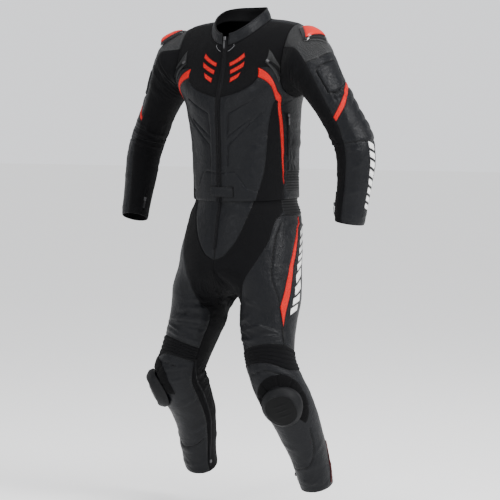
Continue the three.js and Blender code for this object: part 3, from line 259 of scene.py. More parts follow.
def sewing(finish, rows, half):
    """Grooves at rows mm from the seams, half mm wide to each side, and the stitches that lie in them."""
    edge, grooves = finish.kept("edge"), 0.0
    for row in rows:
        grooves = (1 - (edge - row).abs() / half).clear().most(grooves)
    return grooves, grooves * (finish.kept("along").wave(STITCH_PITCH) * 2.2 + 0.9).clear()


def leather(name, colour, shine, thread, rows_deep=0.0):
    """Hide with cells and pores, creases, stitches by the seams; rows_deep presses fine rows across it."""
    finish = Finish(name, {"Specular IOR Level": 0.145})
    cells = finish.node("TexVoronoi", {"feature": "SMOOTH_F1"}, {
        "Vector": finish.place(), "Scale": CELLS_A_METRE, "Smoothness": 0.35,
    }, out="Distance")
    pores = finish.noise(0.0011, detail=2, rough=0.6)
    creases = 1 - (finish.noise(0.016, detail=4, rough=0.62, twist=0.6) * 2 - 1).abs()
    soft = finish.noise(0.055, detail=3, rough=0.5)
    edge, inside, insert = (finish.kept(name) for name in ("edge", "inside", "insert"))
    grooves, stitches = sewing(finish, STITCH_ROWS, 0.55)
    pucker = (1 - edge / 9.0).clear() * (finish.kept("along") + soft * 14).wave(9.5)
    height = (
        cells * 0.12 + pores * 0.06 + (creases ** 4) * -0.5 + soft * 1.2
        + stitches * 0.5 - grooves * 0.3 + pucker * 0.22
    ) * (1 - inside) * (1 - insert)
    if rows_deep:
        pressed = finish.on_panel(1).wave(PRESSED_PITCH)
        height = height + pressed * rows_deep * (1 - inside) * (edge / 8).clear()
    tint = finish.blend(soft, shade(colour, 0.82), shade(colour, 1.16))
    # Painted shade: the colour darkens to 0.55 of itself along the crease valleys.
    wear_and_shade = finish.blend((creases ** 6) * 0.35, tint, shade(colour, 0.55))
    sewn = finish.blend(stitches * 0.9, wear_and_shade, shade(thread, 1))
    # Painted shade: within about 2.5 mm of a seam or a sewn line, where its groove lies, the colour falls to
    # 0.12 of itself.
    seam_shaded = finish.blend((1.25 - edge / 2.0).clear(), sewn, shade(colour, 0.12))
    rough = shine + soft * 0.16 - 0.08 + (creases ** 3) * 0.12 + cells * 0.05
    return finish.set(
        colour=finish.blend(inside, finish.blend(insert, seam_shaded, INSERT_FABRIC), LINING),
        roughness=(rough + inside * (0.85 - shine) + insert * 0.15).clear(),
        height=height,
    )


def stretch(name, colour):
    """Matt knit: ribs across the panel, slanting loops on them, a fuzz, and one row of stitches."""
    finish = Finish(name, {"Specular IOR Level": 0.08, "Sheen Weight": 0.02, "Sheen Roughness": 0.5})
    across, down = finish.on_panel(0), finish.on_panel(1)
    ribs = across.wave(KNIT_RIB).abs()
    loops = (down + across * 0.5).wave(KNIT_LOOP)
    soft = finish.noise(0.05, detail=3)
    fuzz = finish.noise(0.0006, detail=1)
    groove, stitches = sewing(finish, STITCH_ROWS[:1], 0.5)
    # Partly painted shade: the knit is lighter on its rib crests and darker in the valleys between them; the
    # fuzz adds a random tone.
    rib_shaded_knit = finish.blend(ribs * 0.5 + fuzz * 0.3, shade(colour, 1), shade(colour, 1.5))
    sewn = finish.blend(stitches * 0.6, rib_shaded_knit, (0.010, 0.010, 0.011, 1))
    return finish.set(
        colour=finish.blend(finish.kept("inside"), sewn, LINING),
        roughness=0.80 + fuzz * 0.15,
        height=ribs * 0.14 + loops * 0.04 + soft * 0.8 + stitches * 0.3 - groove * 0.12,
    )


BLACK_LEATHER = leather("black_leather", (0.0041, 0.0045, 0.0058), 0.32, (0.012, 0.0125, 0.014))
# Painted light: the pressed leather is the suit's black leather in a colour about six times lighter, standing
# in for light falling on the shoulder tops; it is used on the vent flaps too, and its pressed rows are real.
PRESSED_LEATHER_PAINTED_LIT = leather(
    "pressed_leather_painted_lit", (0.026, 0.0265, 0.0272), 0.30, (0.02, 0.0205, 0.022), rows_deep=0.9,
)
RED_LEATHER = leather("red_leather", (0.50, 0.0062, 0.0042), 0.45, (0.36, 0.005, 0.003))
WHITE_LEATHER = leather("white_leather", (0.86, 0.86, 0.85), 0.45, (0.7, 0.7, 0.7))
STRETCH = stretch("stretch_fabric", (0.0022, 0.0022, 0.0026))

# What a panel is cut from: its finish, its slot in the record, and the thickness of its wall in mm
LEATHER = (BLACK_LEATHER, "black_leather", 2.4)
PRESSED = (PRESSED_LEATHER_PAINTED_LIT, "black_leather", 2.4)
RED = (RED_LEATHER, "red_leather", 2.4)
KNIT = (STRETCH, "stretch_fabric", 2.0)


# The worn form of the jacket body, as sections from the hem up to the neck. Each section is an oval
# that is tilted and dipped: its height at the side, front and back, its middle, half its width, its
# depth in front and behind, and how square it is. Angle 0 is the middle of the front, 90 the left.
MM = 0.001
ARMHOLE_X = 174.0
#    side  front  back   y  half  fore  aft  square
TORSO = np.array([
    [-476, -482, -474, 26, 150, 138, 126, 2.20],
    [-410, -414, -410, 24, 150, 139, 122, 2.20],
    [-335, -337, -335, 22, 153, 138, 122, 2.20],
    [-265, -270, -265, 17, 160, 136, 127, 2.25],
    [-205, -222, -207, 11, 170, 132, 128, 2.30],
    [-140, -184, -148, 6, 204, 122, 126, 2.35],
    [-80, -154, -98, 3, 216, 108, 118, 2.40],
    [-34, -128, -56, 2, 211, 98, 108, 2.30],
    [-6, -104, -24, 1, 188, 92, 98, 2.20],
    [5, -84, -4, 0, 150, 88, 90, 2.10],
    [9, -67, 10, 0, 112, 86, 82, 2.00],
    [10, -55, 18, 0, 86, 84, 76, 2.00],
])
COLLAR = np.array([
    [10, -55, 18, 0, 86, 84, 76, 2.00],
    [25, -38, 38, -1, 77, 81, 76, 2.00],
    [37, -22, 56, -2, 70, 80, 77, 2.00],
])
NECK = len(TORSO) - 1


def rounded(x, square):
    """x to the power 2 / square, with its sign."""
    return np.sign(x) * np.abs(x) ** (2 / square)


def body_section(row, angle):
    """A squared oval, its height a cosine series of the angle that meets front, side and back."""
    side, front, back, y, half, fore, aft, square = row
    s, c = np.sin(np.radians(angle)), np.cos(np.radians(angle))
    tilt = (back - front) / 2
    dip = side - (front + back) / 2
    depth = np.where(c > 0, fore, aft)
    z = side - tilt * c - dip * c * c
    return np.stack([half * rounded(s, square), y - depth * rounded(c, square), z], -1)


def through(sections, ring):
    """The smooth curve through the sections at a place between them: a Catmull-Rom spline, straight
    on at both ends. Sections are [count, ..., 3] and ring is [...]."""
    i = np.clip(np.floor(ring), 0, len(sections) - 2).astype(int)
    t = (ring - i)[..., None]
    more = np.concatenate([2 * sections[:1] - sections[1:2], sections, 2 * sections[-1:] - sections[-2:-1]])
    if sections.ndim == 2:
        a, b, c, d = (more[i + k] for k in range(4))
    else:
        a, b, c, d = (np.take_along_axis(more, (i + k)[None, ..., None], 0)[0] for k in range(4))
    return b + t / 2 * (c - a + t * (2 * a - 5 * b + 4 * c - d + t * (3 * b - a - 3 * c + d)))


def body_at(rows):
    return lambda angle, ring: through(np.stack([body_section(row, angle) for row in rows]), ring)


torso_at, collar_at = body_at(TORSO), body_at(COLLAR)


def bisect(low, high, is_low):
    """The place between low and high where is_low turns false, by halving forty times."""
    low, high = np.array(low, float), np.array(high, float)
    for _ in range(40):
        middle = (low + high) / 2
        under = is_low(middle)
        low, high = np.where(under, middle, low), np.where(under, high, middle)
    return (low + high) / 2


def angle_at_x(ring, reach):
    """Angle at which the front of the body is reach mm from the middle plane."""
    ring = np.asarray(ring, float)
    return bisect(0 * ring, 0 * ring + 90, lambda angle: torso_at(angle, ring)[..., 0] < reach)


SIDE = np.array(90.0)
PIT = float(bisect(3, 5, lambda ring: torso_at(SIDE, ring)[..., 0] < ARMHOLE_X))
SHOULDER = float(bisect(8, 9, lambda ring: torso_at(SIDE, ring)[..., 0] > ARMHOLE_X))


def armhole_place(around):
    """Where the armhole lies on the body: an oval from the pit to the shoulder, around 0 on top."""
    around = np.asarray(around, float)
    ring = (SHOULDER + PIT) / 2 + (SHOULDER - PIT) / 2 * np.cos(np.radians(around))
    angle = angle_at_x(ring, ARMHOLE_X)
    return np.stack([np.where(np.sin(np.radians(around)) >= 0, angle, 180 - angle), ring], -1)


# How cloth lies on a form: which way is out, the worn folds, which are soft ridges and troughs listed
# one by one, and finer crumpling where the joints bend. All of it fades out where two forms meet.
LATTICE = np.random.default_rng(41).random((48, 48, 48)) * 2 - 1


def soft_noise(points, size, start=0):
    """Smooth random height, -1 to 1: a lattice of numbers size apart, blended by 3t^2 - 2t^3."""
    q = points / size + 100 + 7.3 * start
    i = np.floor(q).astype(int)
    t = q - i
    t = t * t * (3 - 2 * t)
    total = 0
    for corner in np.ndindex(2, 2, 2):
        step = np.array(corner)
        share = np.prod(np.where(step, t, 1 - t), axis=-1)
        x, y, z = np.moveaxis((i + step) % 48, -1, 0)
        total = total + share * LATTICE[x, y, z]
    return total


def bump(x):
    """(1 - x^2)^2 between -1 and 1, and 0 outside."""
    return np.maximum(0, 1 - x * x) ** 2


def fade(x, start, end):
    """0 before start, 1 after end, smooth between."""
    t = np.clip((x - start) / (end - start), 0, 1)
    return t * t * (3 - 2 * t)


def folds(rows, angle, ring):
    """Sum of soft ridges: each runs round the form over its span in degrees, climbs by its slant in
    rings for each 100 degrees, is wide by its width in rings, and rises by its height in mm."""
    total = np.zeros_like(ring)
    for middle, at, span, width, rise, slant in rows:
        turn = (angle - middle + 540) % 360 - 180
        total += rise * bump(turn / span) * bump((ring - at - slant * turn / 100) / width)
    return total


class Form:
    """A body in mm: at gives its smooth surface, rows its folds, crumple the height of its fine creases,
    join where they fade out, and limit keeps points on its side. Above split the angles end at -45 and
    225; flat_edge keeps the first ring's outward direction upright."""

    def __init__(self, at, rows, crumple, join, limit, split=0.0, flat_edge=False):
        self.at = at
        self.rows = rows
        self.crumple = crumple
        self.join = join
        self.limit = limit
        self.split = split
        self.flat_edge = flat_edge
        middle = np.array(2.5)
        across = at(np.array(90.0), middle) - at(np.array(200.0), middle)
        self.out = 1.0
        self.out = np.sign(self.normal(90.0, middle) @ across)

    def normal(self, angle, ring):
        """Cross product of the steps along angle and ring, turned outwards."""
        angle, ring = np.broadcast_arrays(np.asarray(angle, float), np.asarray(ring, float))
        whole = ring < self.split - 1e-6
        a = self.at(np.where(whole, np.maximum(angle - 0.5, -45), angle - 0.5), ring)
        b = self.at(np.where(whole, np.minimum(angle + 0.5, 225), angle + 0.5), ring)
        c = self.at(angle, np.maximum(ring - 0.01, 0))
        d = self.at(angle, ring + 0.01)
        n = np.cross(b - a, d - c) * self.out
        if self.flat_edge:
            n[..., 0] = np.where(ring < 1e-6, 0, n[..., 0])
        return n / np.maximum(np.linalg.norm(n, axis=-1, keepdims=True), 1e-9)

    def lift(self, angle, ring, points):
        """Height of the worn cloth over the form, in mm."""
        height = folds(self.rows, angle, ring)
        reach = np.linalg.norm(self.at(angle + 0.5, ring) - self.at(angle - 0.5, ring), axis=-1)
        along = np.linalg.norm(self.at(angle, ring + 0.05) - self.at(angle, ring), axis=-1) * 20
        crumpled = np.stack([angle * reach / 46, ring * along / 15, 0 * ring + 3], -1)
        ridges = 1 - np.abs(soft_noise(crumpled, 1.0, 2) * 1.6)
        height = height + self.crumple(angle, ring) * np.clip(ridges, 0, 1) ** 2
        height = height + 1.3 * soft_noise(points, 62, 0) + 0.55 * soft_noise(points, 24, 1)
        return height * self.join(angle, ring, points)


#  angle  ring  span  width  rise  slant
TORSO_FOLDS = [
    (96, 1.25, 34, 0.26, 2.6, 0.0), (108, 2.15, 30, 0.26, 2.4, 0.0),
    (62, 5.05, 20, 0.22, 1.8, -1.6), (70, 4.75, 22, 0.16, -1.5, -1.5), (52, 5.5, 14, 0.2, 1.6, -2.0),
    (-62, 5.05, 20, 0.22, 1.8, 1.6), (-70, 4.7, 22, 0.16, -1.5, 1.5),
    (48, 2.9, 16, 0.2, 1.5, 1.9), (50, 2.45, 18, 0.15, -1.3, 1.8), (44, 2.0, 18, 0.16, 1.3, 1.2),
    (-46, 2.6, 16, 0.2, 1.4, -1.6), (-50, 1.9, 16, 0.16, 1.3, -1.0),
    (96, 3.2, 26, 0.18, 1.8, 0.5), (104, 2.7, 26, 0.15, -1.4, 0.4), (92, 0.75, 30, 0.14, 1.4, 0.2),
    (-96, 3.1, 26, 0.18, 1.8, -0.5), (-104, 2.2, 30, 0.2, 2.0, -0.3), (-92, 1.3, 34, 0.16, 1.8, 0.3),
    (180, 1.9, 60, 0.2, 2.2, 0.0), (150, 2.4, 40, 0.18, 1.8, 0.3), (208, 2.5, 42, 0.18, 1.8, -0.4),
    (172, 1.25, 70, 0.14, 1.8, 0.1), (190, 3.1, 52, 0.24, 1.6, 0.2), (128, 4.6, 22, 0.3, 2.2, 1.5),
    (232, 4.6, 22, 0.3, 2.2, -1.5), (180, 7.6, 50, 0.5, 1.8, 0.0),
]
SEAM_GAP = 0.15
COLLAR_FOLDS = [(60, 0.8, 30, 0.5, 0.9, 0.6), (-75, 0.7, 34, 0.4, 1.0, -0.5), (180, 0.9, 50, 0.4, 0.8, 0.0)]


def torso_crumple(angle, ring):
    """Most at the sides of the waist, and some in front of the armholes."""
    waist = bump((ring - 1.8) / 1.7) * (0.35 + 0.65 * fade(np.abs((angle + 180) % 360 - 180), 55, 95))
    return 1.9 * waist + 1.4 * bump((ring - 5.2) / 1.4) * bump((np.abs(angle) - 70) / 30)


def torso_join(angle, ring, points):
    """The folds fade out towards the armholes and the neck, and down to 0.3 at the hem."""
    to_armhole = fade(ARMHOLE_X - np.abs(points[..., 0]), 0, 22)
    return to_armhole * fade(NECK - ring, 0, 1.1) * (0.3 + 0.7 * fade(ring, 0, 0.9))


def inside_armholes(points):
    reach = ARMHOLE_X - SEAM_GAP
    return np.concatenate([np.clip(points[..., :1], -reach, reach), points[..., 1:]], -1)


torso = Form(torso_at, TORSO_FOLDS, torso_crumple, torso_join, inside_armholes)
collar = Form(
    collar_at, COLLAR_FOLDS, lambda angle, ring: 0.5 + 0 * ring,
    lambda angle, ring, p: fade(ring, 0, 0.6) * 0.8, lambda points: points,
)


# Seams and the patches between them. A seam is a line of places (angle, ring) on a form, cut into
# steps of equal length; a patch fills four of them by blending opposite sides (a Coons patch).
class Seam:
    def __init__(self, draw, parts):
        self.draw = draw
        self.parts = parts

    def back(self):
        return Seam(lambda count: self.draw(count)[::-1], self.parts)

    def turned(self, turn):
        return Seam(lambda count: self.draw(count) + [turn, 0], self.parts)

    def mirrored(self):
        return Seam(lambda count: self.draw(count) * [-1, 1] + [360, 0], self.parts)

    def opposite(self):
        return Seam(lambda count: self.draw(count) * [-1, 1], self.parts)


def run_of(points, axis=0):
    """Length in mm along lines of points, from 0 at their start."""
    steps = np.linalg.norm(np.diff(points, axis=axis), axis=-1)
    return np.insert(np.cumsum(steps, axis), 0, 0, axis)


def taken(values, run, want):
    """Rows of values that are known at the lengths in run, at the lengths in want."""
    return np.stack([np.interp(want, run, column) for column in values.T], -1)


def seam(form, places, parts):
    """A smooth line through places, evenly cut by its length on the form."""
    steps = np.linspace(0, len(places) - 1, 24 * len(places))
    fine = through(np.array([(*place, 0.0) for place in places]), steps)
    fine = fine[:, :2]
    run = run_of(form.at(*fine.T))
    return Seam(lambda count: taken(fine, run, np.linspace(0, run[-1], count + 1)), parts)


def line_up(seams, fine):
    """Places along seams that follow each other, fine steps for each of their parts."""
    runs = [s.draw(s.parts * fine) for s in seams]
    return np.concatenate([runs[0]] + [run[1:] for run in runs[1:]])


def length_of(form, places):
    return run_of(form.at(*places.T))[-1]


def patch(form, top, bottom, left, right, cell=4.2, sewn="tblr", rows=None):
    """Places of a grid between four seams: top and bottom run from left to right, the sides down."""
    wide = max(length_of(form, line_up(run, 4)) for run in (top, bottom)) / sum(s.parts for s in top)
    tall = max(length_of(form, line_up(run, 4)) for run in (left, right)) / sum(s.parts for s in left)
    across, down = max(1, round(wide / cell)), rows or max(1, round(tall / cell))
    t_run, b_run = line_up(top, across), line_up(bottom, across)
    l_run, r_run = line_up(left, down), line_up(right, down)
    s = np.linspace(0, 1, len(t_run))[None, :, None]
    t = np.linspace(0, 1, len(l_run))[:, None, None]
    places = (
        (1 - t) * t_run + t * b_run + (1 - s) * l_run[:, None] + s * r_run[:, None]
        - (1 - s) * (1 - t) * t_run[0] - s * (1 - t) * t_run[-1]
        - (1 - s) * t * b_run[0] - s * t * b_run[-1]
    )
    return places, sewn


def quad(form, a, b, c, d):
    """A small patch between its corners: upper left and right, lower left and right."""
    top, bottom = seam(form, [a, b], 4), seam(form, [c, d], 4)
    return patch(form, [top], [bottom], [seam(form, [a, c], 1)], [seam(form, [b, d], 1)], cell=2.2)


# Meshes: arrays straight into Blender, and the closed wall of a cloth panel with the distances to
# its seams kept for the stitches.
def mesh_piece(name, points, triangles, material, kept=None, uv=None, sharp=48, slot=None):
    """Points in mm and triangles as a piece that rides on the suit, with kept values at its points."""
    mesh = bpy.data.meshes.new(name)
    mesh.vertices.add(len(points))
    mesh.vertices.foreach_set("co", (np.asarray(points) * MM).astype(np.float32).ravel())
    mesh.loops.add(triangles.size)
    mesh.loops.foreach_set("vertex_index", triangles.astype(np.int32).ravel())
    mesh.polygons.add(len(triangles))
    mesh.polygons.foreach_set("loop_start", np.arange(0, triangles.size, 3, dtype=np.int32))
    mesh.update(calc_edges=True)
    if uv is not None:
        mesh.uv_layers.new(name="cloth").uv.foreach_set("vector", uv.astype(np.float32).ravel())
    for key, values in (kept or {}).items():
        mesh.attributes.new(key, "FLOAT", "POINT").data.foreach_set("value", values.astype(np.float32))
    mesh.shade_smooth()
    mesh.set_sharp_from_angle(angle=math.radians(sharp))
    mesh.materials.append(material)
    piece = bpy.data.objects.new(name, mesh)
    bpy.context.scene.collection.objects.link(piece)
    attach(piece, "suit")
    return piece


def grid_triangles(rows, columns, start=0):
    """Two triangles for each cell of a grid of points, numbered row by row."""
    i = start + (np.arange(rows - 1)[:, None] * columns + np.arange(columns - 1)).ravel()
    return np.concatenate([
        np.stack([i, i + 1, i + columns + 1], 1),
        np.stack([i, i + columns + 1, i + columns], 1),
    ])


def real(triangles):
    """Which triangles have three different corners."""
    return (triangles != np.roll(triangles, 1, axis=1)).all(1)


SEAM_DIP = 1.4
SEAM_ROUND = 3.0
LINE_DIP = 1.3
LINE_ROUND = 2.4
NO_SEAM = 1e3
# A panel's flat size is taken from its area: at most 1.02 times, at least 0.31 of its rectangle, 10 mm wide
FLAT_MORE = 1.02
FLAT_LEAST = 0.31
FLAT_NARROW = 0.0102


class Spots:
    """What the relief of a panel can go by, as arrays over its grid."""


def cloth(name, form, patches, stuff, relief=None, kept=None, base=0.0, dip=SEAM_DIP, lines=()):
    """The wall of a panel: outer points on the form, moved out by its folds and relief and drawn in
    at its seams and lines; inner points the wall's thickness under them; and a rim all round. A panel
    with a base lies so many mm over the form, on another one. A node of its name is replaced."""
    material, slot, thick = stuff
    forms = form if isinstance(form, list) else [form] * len(patches)
    points, normals, edges, alongs, uvs, heights, faces = [], [], [], [], [], [], []
    extra = {key: [] for key in (kept or {})}
    widest = longest = start = 0
    for (places, sewn), form in zip(patches, forms):
        angle, ring = places[..., 0], places[..., 1]
        flat = form.at(angle, ring)
        out = form.normal(angle, ring)
        across, down = run_of(flat, 1), run_of(flat, 0)
        far = {"t": down, "b": down[-1:] - down, "l": across, "r": across[:, -1:] - across}
        far = {key: gap if key in sewn else gap + NO_SEAM for key, gap in far.items()}
        upright = np.minimum(far["t"], far["b"])
        sideways = np.minimum(far["l"], far["r"])
        edge = np.minimum(upright, sideways)
        sunk = 0
        if lines:
            gap = line_gap(form, lines, flat)
            edge = np.minimum(edge, gap)
            sunk = LINE_DIP * np.exp(-(gap / LINE_ROUND) ** 2)
        height = form.lift(angle, ring, flat) - dip * np.exp(-(edge / SEAM_ROUND) ** 2) - sunk
        at = Spots()
        at.angle, at.ring, at.flat, at.edge = angle, ring, flat, edge
        at.s = across / np.maximum(across[:, -1:], 1e-6)
        at.t = down / np.maximum(down[-1:], 1e-6)
        if relief:
            height = height + relief(at)
        for key, rule in (kept or {}).items():
            extra[key].append(rule(at).ravel())
        triangles = grid_triangles(*flat.shape[:2], start)
        a, b, c = (flat.reshape(-1, 3)[triangles[:, k] - start] for k in range(3))
        facing = (np.cross(b - a, c - a) * out.reshape(-1, 3)[triangles[:, 0] - start]).sum()
        faces.append(triangles if facing > 0 else triangles[:, ::-1])
        points.append(flat.reshape(-1, 3))
        normals.append(out.reshape(-1, 3))
        edges.append(edge.ravel())
        alongs.append(np.where(upright < sideways, across, down).ravel())
        uvs.append(np.stack([across, down], -1).reshape(-1, 2) * MM)
        heights.append(height.ravel())
        widest = max(widest, across[:, -1].max())
        longest = max(longest, down[-1].max())
        start += angle.size
    lists = points, normals, heights, edges, alongs, uvs, faces
    points, normals, heights, edges, alongs, uvs, loose = (np.concatenate(parts) for parts in lists)

    # Points that two patches share become one
    spots = np.round(points * 20).astype(int)
    _, first, same = np.unique(spots, axis=0, return_index=True, return_inverse=True)
    same = same.ravel()
    loose = loose[real(same[loose])]
    corners = same[loose]
    nearest = np.full(len(first), NO_SEAM)
    np.minimum.at(nearest, same, edges)
    count = len(first)
    out = np.stack([np.bincount(same, normals[:, k], count) for k in range(3)], 1)
    out /= np.maximum(np.linalg.norm(out, axis=1, keepdims=True), 1e-9)
    flat, height = points[first], heights[first]
    top = base + (thick if base else 0.0)
    limit = form.limit if len(set(forms)) == 1 else lambda p: p
    outer = limit(flat + out * (height + top)[:, None])
    inner = limit(flat + out * (height + top - thick)[:, None])
    a, b, c = (flat[corners[:, k]] for k in range(3))
    area = np.linalg.norm(np.cross(b - a, c - a), axis=1).sum() / 2 * MM * MM

    # Edges with one face only are the rim
    pairs = np.concatenate([corners[:, [0, 1]], corners[:, [1, 2]], corners[:, [2, 0]]])
    ends = np.concatenate([loose[:, [0, 1]], loose[:, [1, 2]], loose[:, [2, 0]]])
    alone = ~np.isin(pairs[:, 0] * count + pairs[:, 1], pairs[:, 1] * count + pairs[:, 0])
    (p, q), (u, v) = pairs[alone].T, ends[alone].T
    triangles = np.concatenate([
        corners, corners[:, ::-1] + count,
        np.stack([q, p, p + count], 1), np.stack([q, p + count, q + count], 1),
    ])
    uv_of = np.concatenate([loose, loose[:, ::-1], np.stack([v, u, u], 1), np.stack([v, u, v], 1)])
    marks = {
        "edge": np.tile(nearest, 2),
        "along": np.tile(alongs[first], 2),
        "inside": np.repeat([0.0, 1.0], count),
    }
    for key, values in extra.items():
        marks[key] = np.tile(np.concatenate(values)[first], 2)
    both = np.concatenate([outer, inner])
    piece = mesh_piece(f"{name}_cloth", both, triangles, material, marks, uvs[uv_of], slot=slot)
    width, length = widest * MM, longest * MM
    length = max(length, area / width * FLAT_MORE)
    width = max(min(width, area / length / FLAT_LEAST), FLAT_NARROW)
    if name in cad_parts:
        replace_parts(piece, name)


# Lines sewn or embossed across a panel: how far each of its points is from the line
def line_gap(form, lines, flat):
    """Distance in mm from points to the nearest of the lines of places, taken every 1.5 mm."""
    dots = []
    for places in lines:
        line = seam(form, places, 1)
        count = max(4, int(length_of(form, line.draw(40)) / 1.5))
        dots.append(form.at(*line.draw(count).T))
    dots = np.concatenate(dots)
    spots = flat.reshape(-1, 3)
    gaps = np.empty(len(spots))
    for i in range(0, len(spots), 4000):
        part = spots[i:i + 4000, None] - dots[None]
        gaps[i:i + 4000] = np.sqrt((part ** 2).sum(-1).min(1))
    return gaps.reshape(flat.shape[:-1])


def both_sides(lines):
    return lines + [[(-a, r) for a, r in line] for line in lines]


# Jacket body: fronts and sides in leather, yoke and side wedges in stretch fabric, a red stripe from
# the breast down to the hem, all sewn edge to edge. The fronts are quilted in slanting channels.
ZIP_HALF = 7.0
VENT = 115
SIDE_BACK = 245
YOKE = 4.65


def zip_edge(ring):
    return (float(angle_at_x(ring, ZIP_HALF)), ring)


def hole_seam(start, end, parts):
    def draw(count):
        places = armhole_place(np.linspace(start, end, count + 1))
        around = np.linspace(start, end, count + 1) % 360
        places[np.isclose(around, 0) | np.isclose(around, 180), 0] = 90
        return places

    return Seam(draw, parts)


hole_front = tuple(armhole_place(VENT))
hole_back = tuple(armhole_place(SIDE_BACK))
hole_top = (90.0, float(armhole_place(0)[1]))
hole_pit = (90.0, float(armhole_place(180)[1]))
zip_low = seam(torso, [zip_edge(YOKE), zip_edge(3), zip_edge(1.5), zip_edge(0)], 8)
zip_up = seam(torso, [zip_edge(NECK), zip_edge(9), zip_edge(7), zip_edge(YOKE)], 7)
hem_front = seam(torso, [zip_edge(0), (40, 0)], 10)
hem_wedge = seam(torso, [(40, 0), (77.6, 0)], 4)
hem_side = seam(torso, [(77.6, 0), (118, 0)], 4)
hem_back = seam(torso, [(118, 0), (242, 0)], 12)
yoke_seam = seam(torso, [zip_edge(YOKE), (16, 5.05), (25, 5.5), (28, 5.95)], 3)
stripe_in_1 = seam(torso, [(28, 5.95), (42, 5.15), (51, 4.62), (60, 4.12)], 7)
apex = seam(torso, [(60, 4.12), (64, 4.04)], 4)
stripe_in_2 = seam(torso, [(64, 4.04), (70, 2.7), (74, 1.55), (76.4, 0.65)], 7)
wedge = seam(torso, [(60, 4.12), (55, 2.85), (52, 1.3), (40, 0)], 8)
below_tip = seam(torso, [(76.4, 0.65), (77.6, 0)], 1)
stripe_end = seam(torso, [(28, 5.95), (28, 6.85)], 1)
stripe_out = seam(torso, [(28, 6.85), (42, 5.6), (54, 4.72), (66, 4.26)], 7)
stripe_bend = seam(torso, [(66, 4.26), (68.6, 4.08), (69.8, 3.8)], 4)
stripe_down = seam(torso, [(69.8, 3.8), (76, 2.5), (77.5, 1.55), (78, 0.65)], 7)
stripe_tip = seam(torso, [(76.4, 0.65), (78, 0.65)], 1)
vent_edge = seam(torso, [(28, 6.85), (36, 6.55), (44, 6.1), hole_front], 4)
pit_line = seam(torso, [hole_pit, (69.8, 3.8)], 3)
side_back = seam(torso, [hole_back, (122, 3.4), (118, 2), (118, 0)], 12)
shoulder_seam = seam(torso, [(90, NECK), hole_top], 2)
neck_front = seam(torso, [zip_edge(NECK), (50, NECK)], 3)
neck_side = seam(torso, [(50, NECK), (90, NECK)], 2)
yoke_line = seam(torso, [(50, NECK), (44, 9.6), (35, 8.2), (28, 6.85)], 6)
neck_back = seam(torso, [(90, NECK), (270, NECK)], 8)
back_seam = seam(
    torso, [hole_back, (150, 5.9), (180, 6.0), (210, 5.9), (360 - hole_back[0], hole_back[1])], 12,
)
hole_front_seam = hole_seam(0, VENT, 6)
pit_front = hole_seam(VENT, 180, 7)
pit_back = hole_seam(180, SIDE_BACK, 4)
hole_back_seam = hole_seam(360, SIDE_BACK, 7)
tip = Seam(lambda count: np.tile(vent_edge.draw(1)[0], (count + 1, 1)), 3)

CHANNELS = both_sides([
    [(34, 4.35), (9.5, 3.57)], [(9.5, 3.57), (9, 2.48)], [(9, 2.48), (33, 3.2)],
    [(47, 3.5), (10, 2.15)], [(10, 2.15), (9, 1.4)],
    [(3.2, 1.15), (18, 1.15), (29, 0.60), (42, 0.42), (50, 0.40)],
])
WELTS = both_sides([[(6.3, 4.5), (6.4, 2.4), (6.4, 0.2)]])
CHANNEL = {"deep": 2.3, "half": 2.5}
SIDE_RIBS = {"from": 0.34, "to": 1.22, "front": 80, "back": 119}
INSERT_RIB = {"pitch": 7.5, "rise": 1.0}


def front_relief(at):
    """Channels are troughs between soft cushions; a welt runs along the zip."""
    gap = line_gap(torso, CHANNELS, at.flat)
    cushion = 1.0 * bump(np.clip((gap - 16) / 18, -1, 1)) * bump((at.ring - 2.9) / 2.0)
    welt = 0.9 * bump(line_gap(torso, WELTS, at.flat) / 4.0)
    return cushion - CHANNEL["deep"] * np.exp(-(gap / CHANNEL["half"]) ** 2) + welt


def side_insert(at):
    """1 on the ribbed insert over the hip, 0 round it."""
    turn = np.abs(at.angle)
    return (
        fade(at.ring, SIDE_RIBS["from"], SIDE_RIBS["from"] + 0.02) * fade(SIDE_RIBS["to"] - at.ring, 0, 0.02)
        * fade(turn, SIDE_RIBS["front"], SIDE_RIBS["front"] + 1.5) * fade(SIDE_RIBS["back"] - turn, 0, 1.5)
    )


def insert_ribs(at):
    """Ribs across an insert: a sine of the height, taken to the power 0.7."""
    wave = np.sin(at.flat[..., 2] * 2 * math.pi / INSERT_RIB["pitch"])
    return INSERT_RIB["rise"] * rounded(wave, 2.8)


def side_relief(at):
    return side_insert(at) * insert_ribs(at)


BODY_PIECES = {
    "jacket_front": (LEATHER, front_relief, None, lambda: [
        patch(torso, [yoke_seam, stripe_in_1], [hem_front], [zip_low], [wedge], cell=2.4)]),
    "jacket_yoke": (KNIT, None, None, lambda: [
        patch(torso, [neck_front], [yoke_seam], [zip_up], [yoke_line, stripe_end.back()], sewn="tbl"),
        patch(torso, [neck_side, shoulder_seam], [vent_edge], [yoke_line], [hole_front_seam], sewn="tbr")]),
    "jacket_side_stretch": (KNIT, None, None, lambda: [
        patch(torso, [apex], [hem_wedge], [wedge], [stripe_in_2, below_tip])]),
    "jacket_side_stripe": (RED, None, None, lambda: [
        patch(torso, [stripe_end], [stripe_tip], [stripe_in_1, apex, stripe_in_2],
              [stripe_out, stripe_bend, stripe_down], cell=2.2)]),
    "jacket_side": (LEATHER, side_relief, {"insert": side_insert}, lambda: [
        patch(torso, [vent_edge, pit_front], [stripe_out, stripe_bend], [tip], [pit_line], sewn="tb"),
        patch(torso, [pit_back], [hem_side], [pit_line, stripe_down, stripe_tip.back(), below_tip],
              [side_back], cell=2.8, rows=20)]),
}
for base_name, (stuff, relief, kept, make) in BODY_PIECES.items():
    for side, sign in (("L", 1), ("R", -1)):
        grids = [(places * [sign, 1], sewn) for places, sewn in make()]
        cloth(f"{base_name}_{side}", torso, grids, stuff, relief, kept)

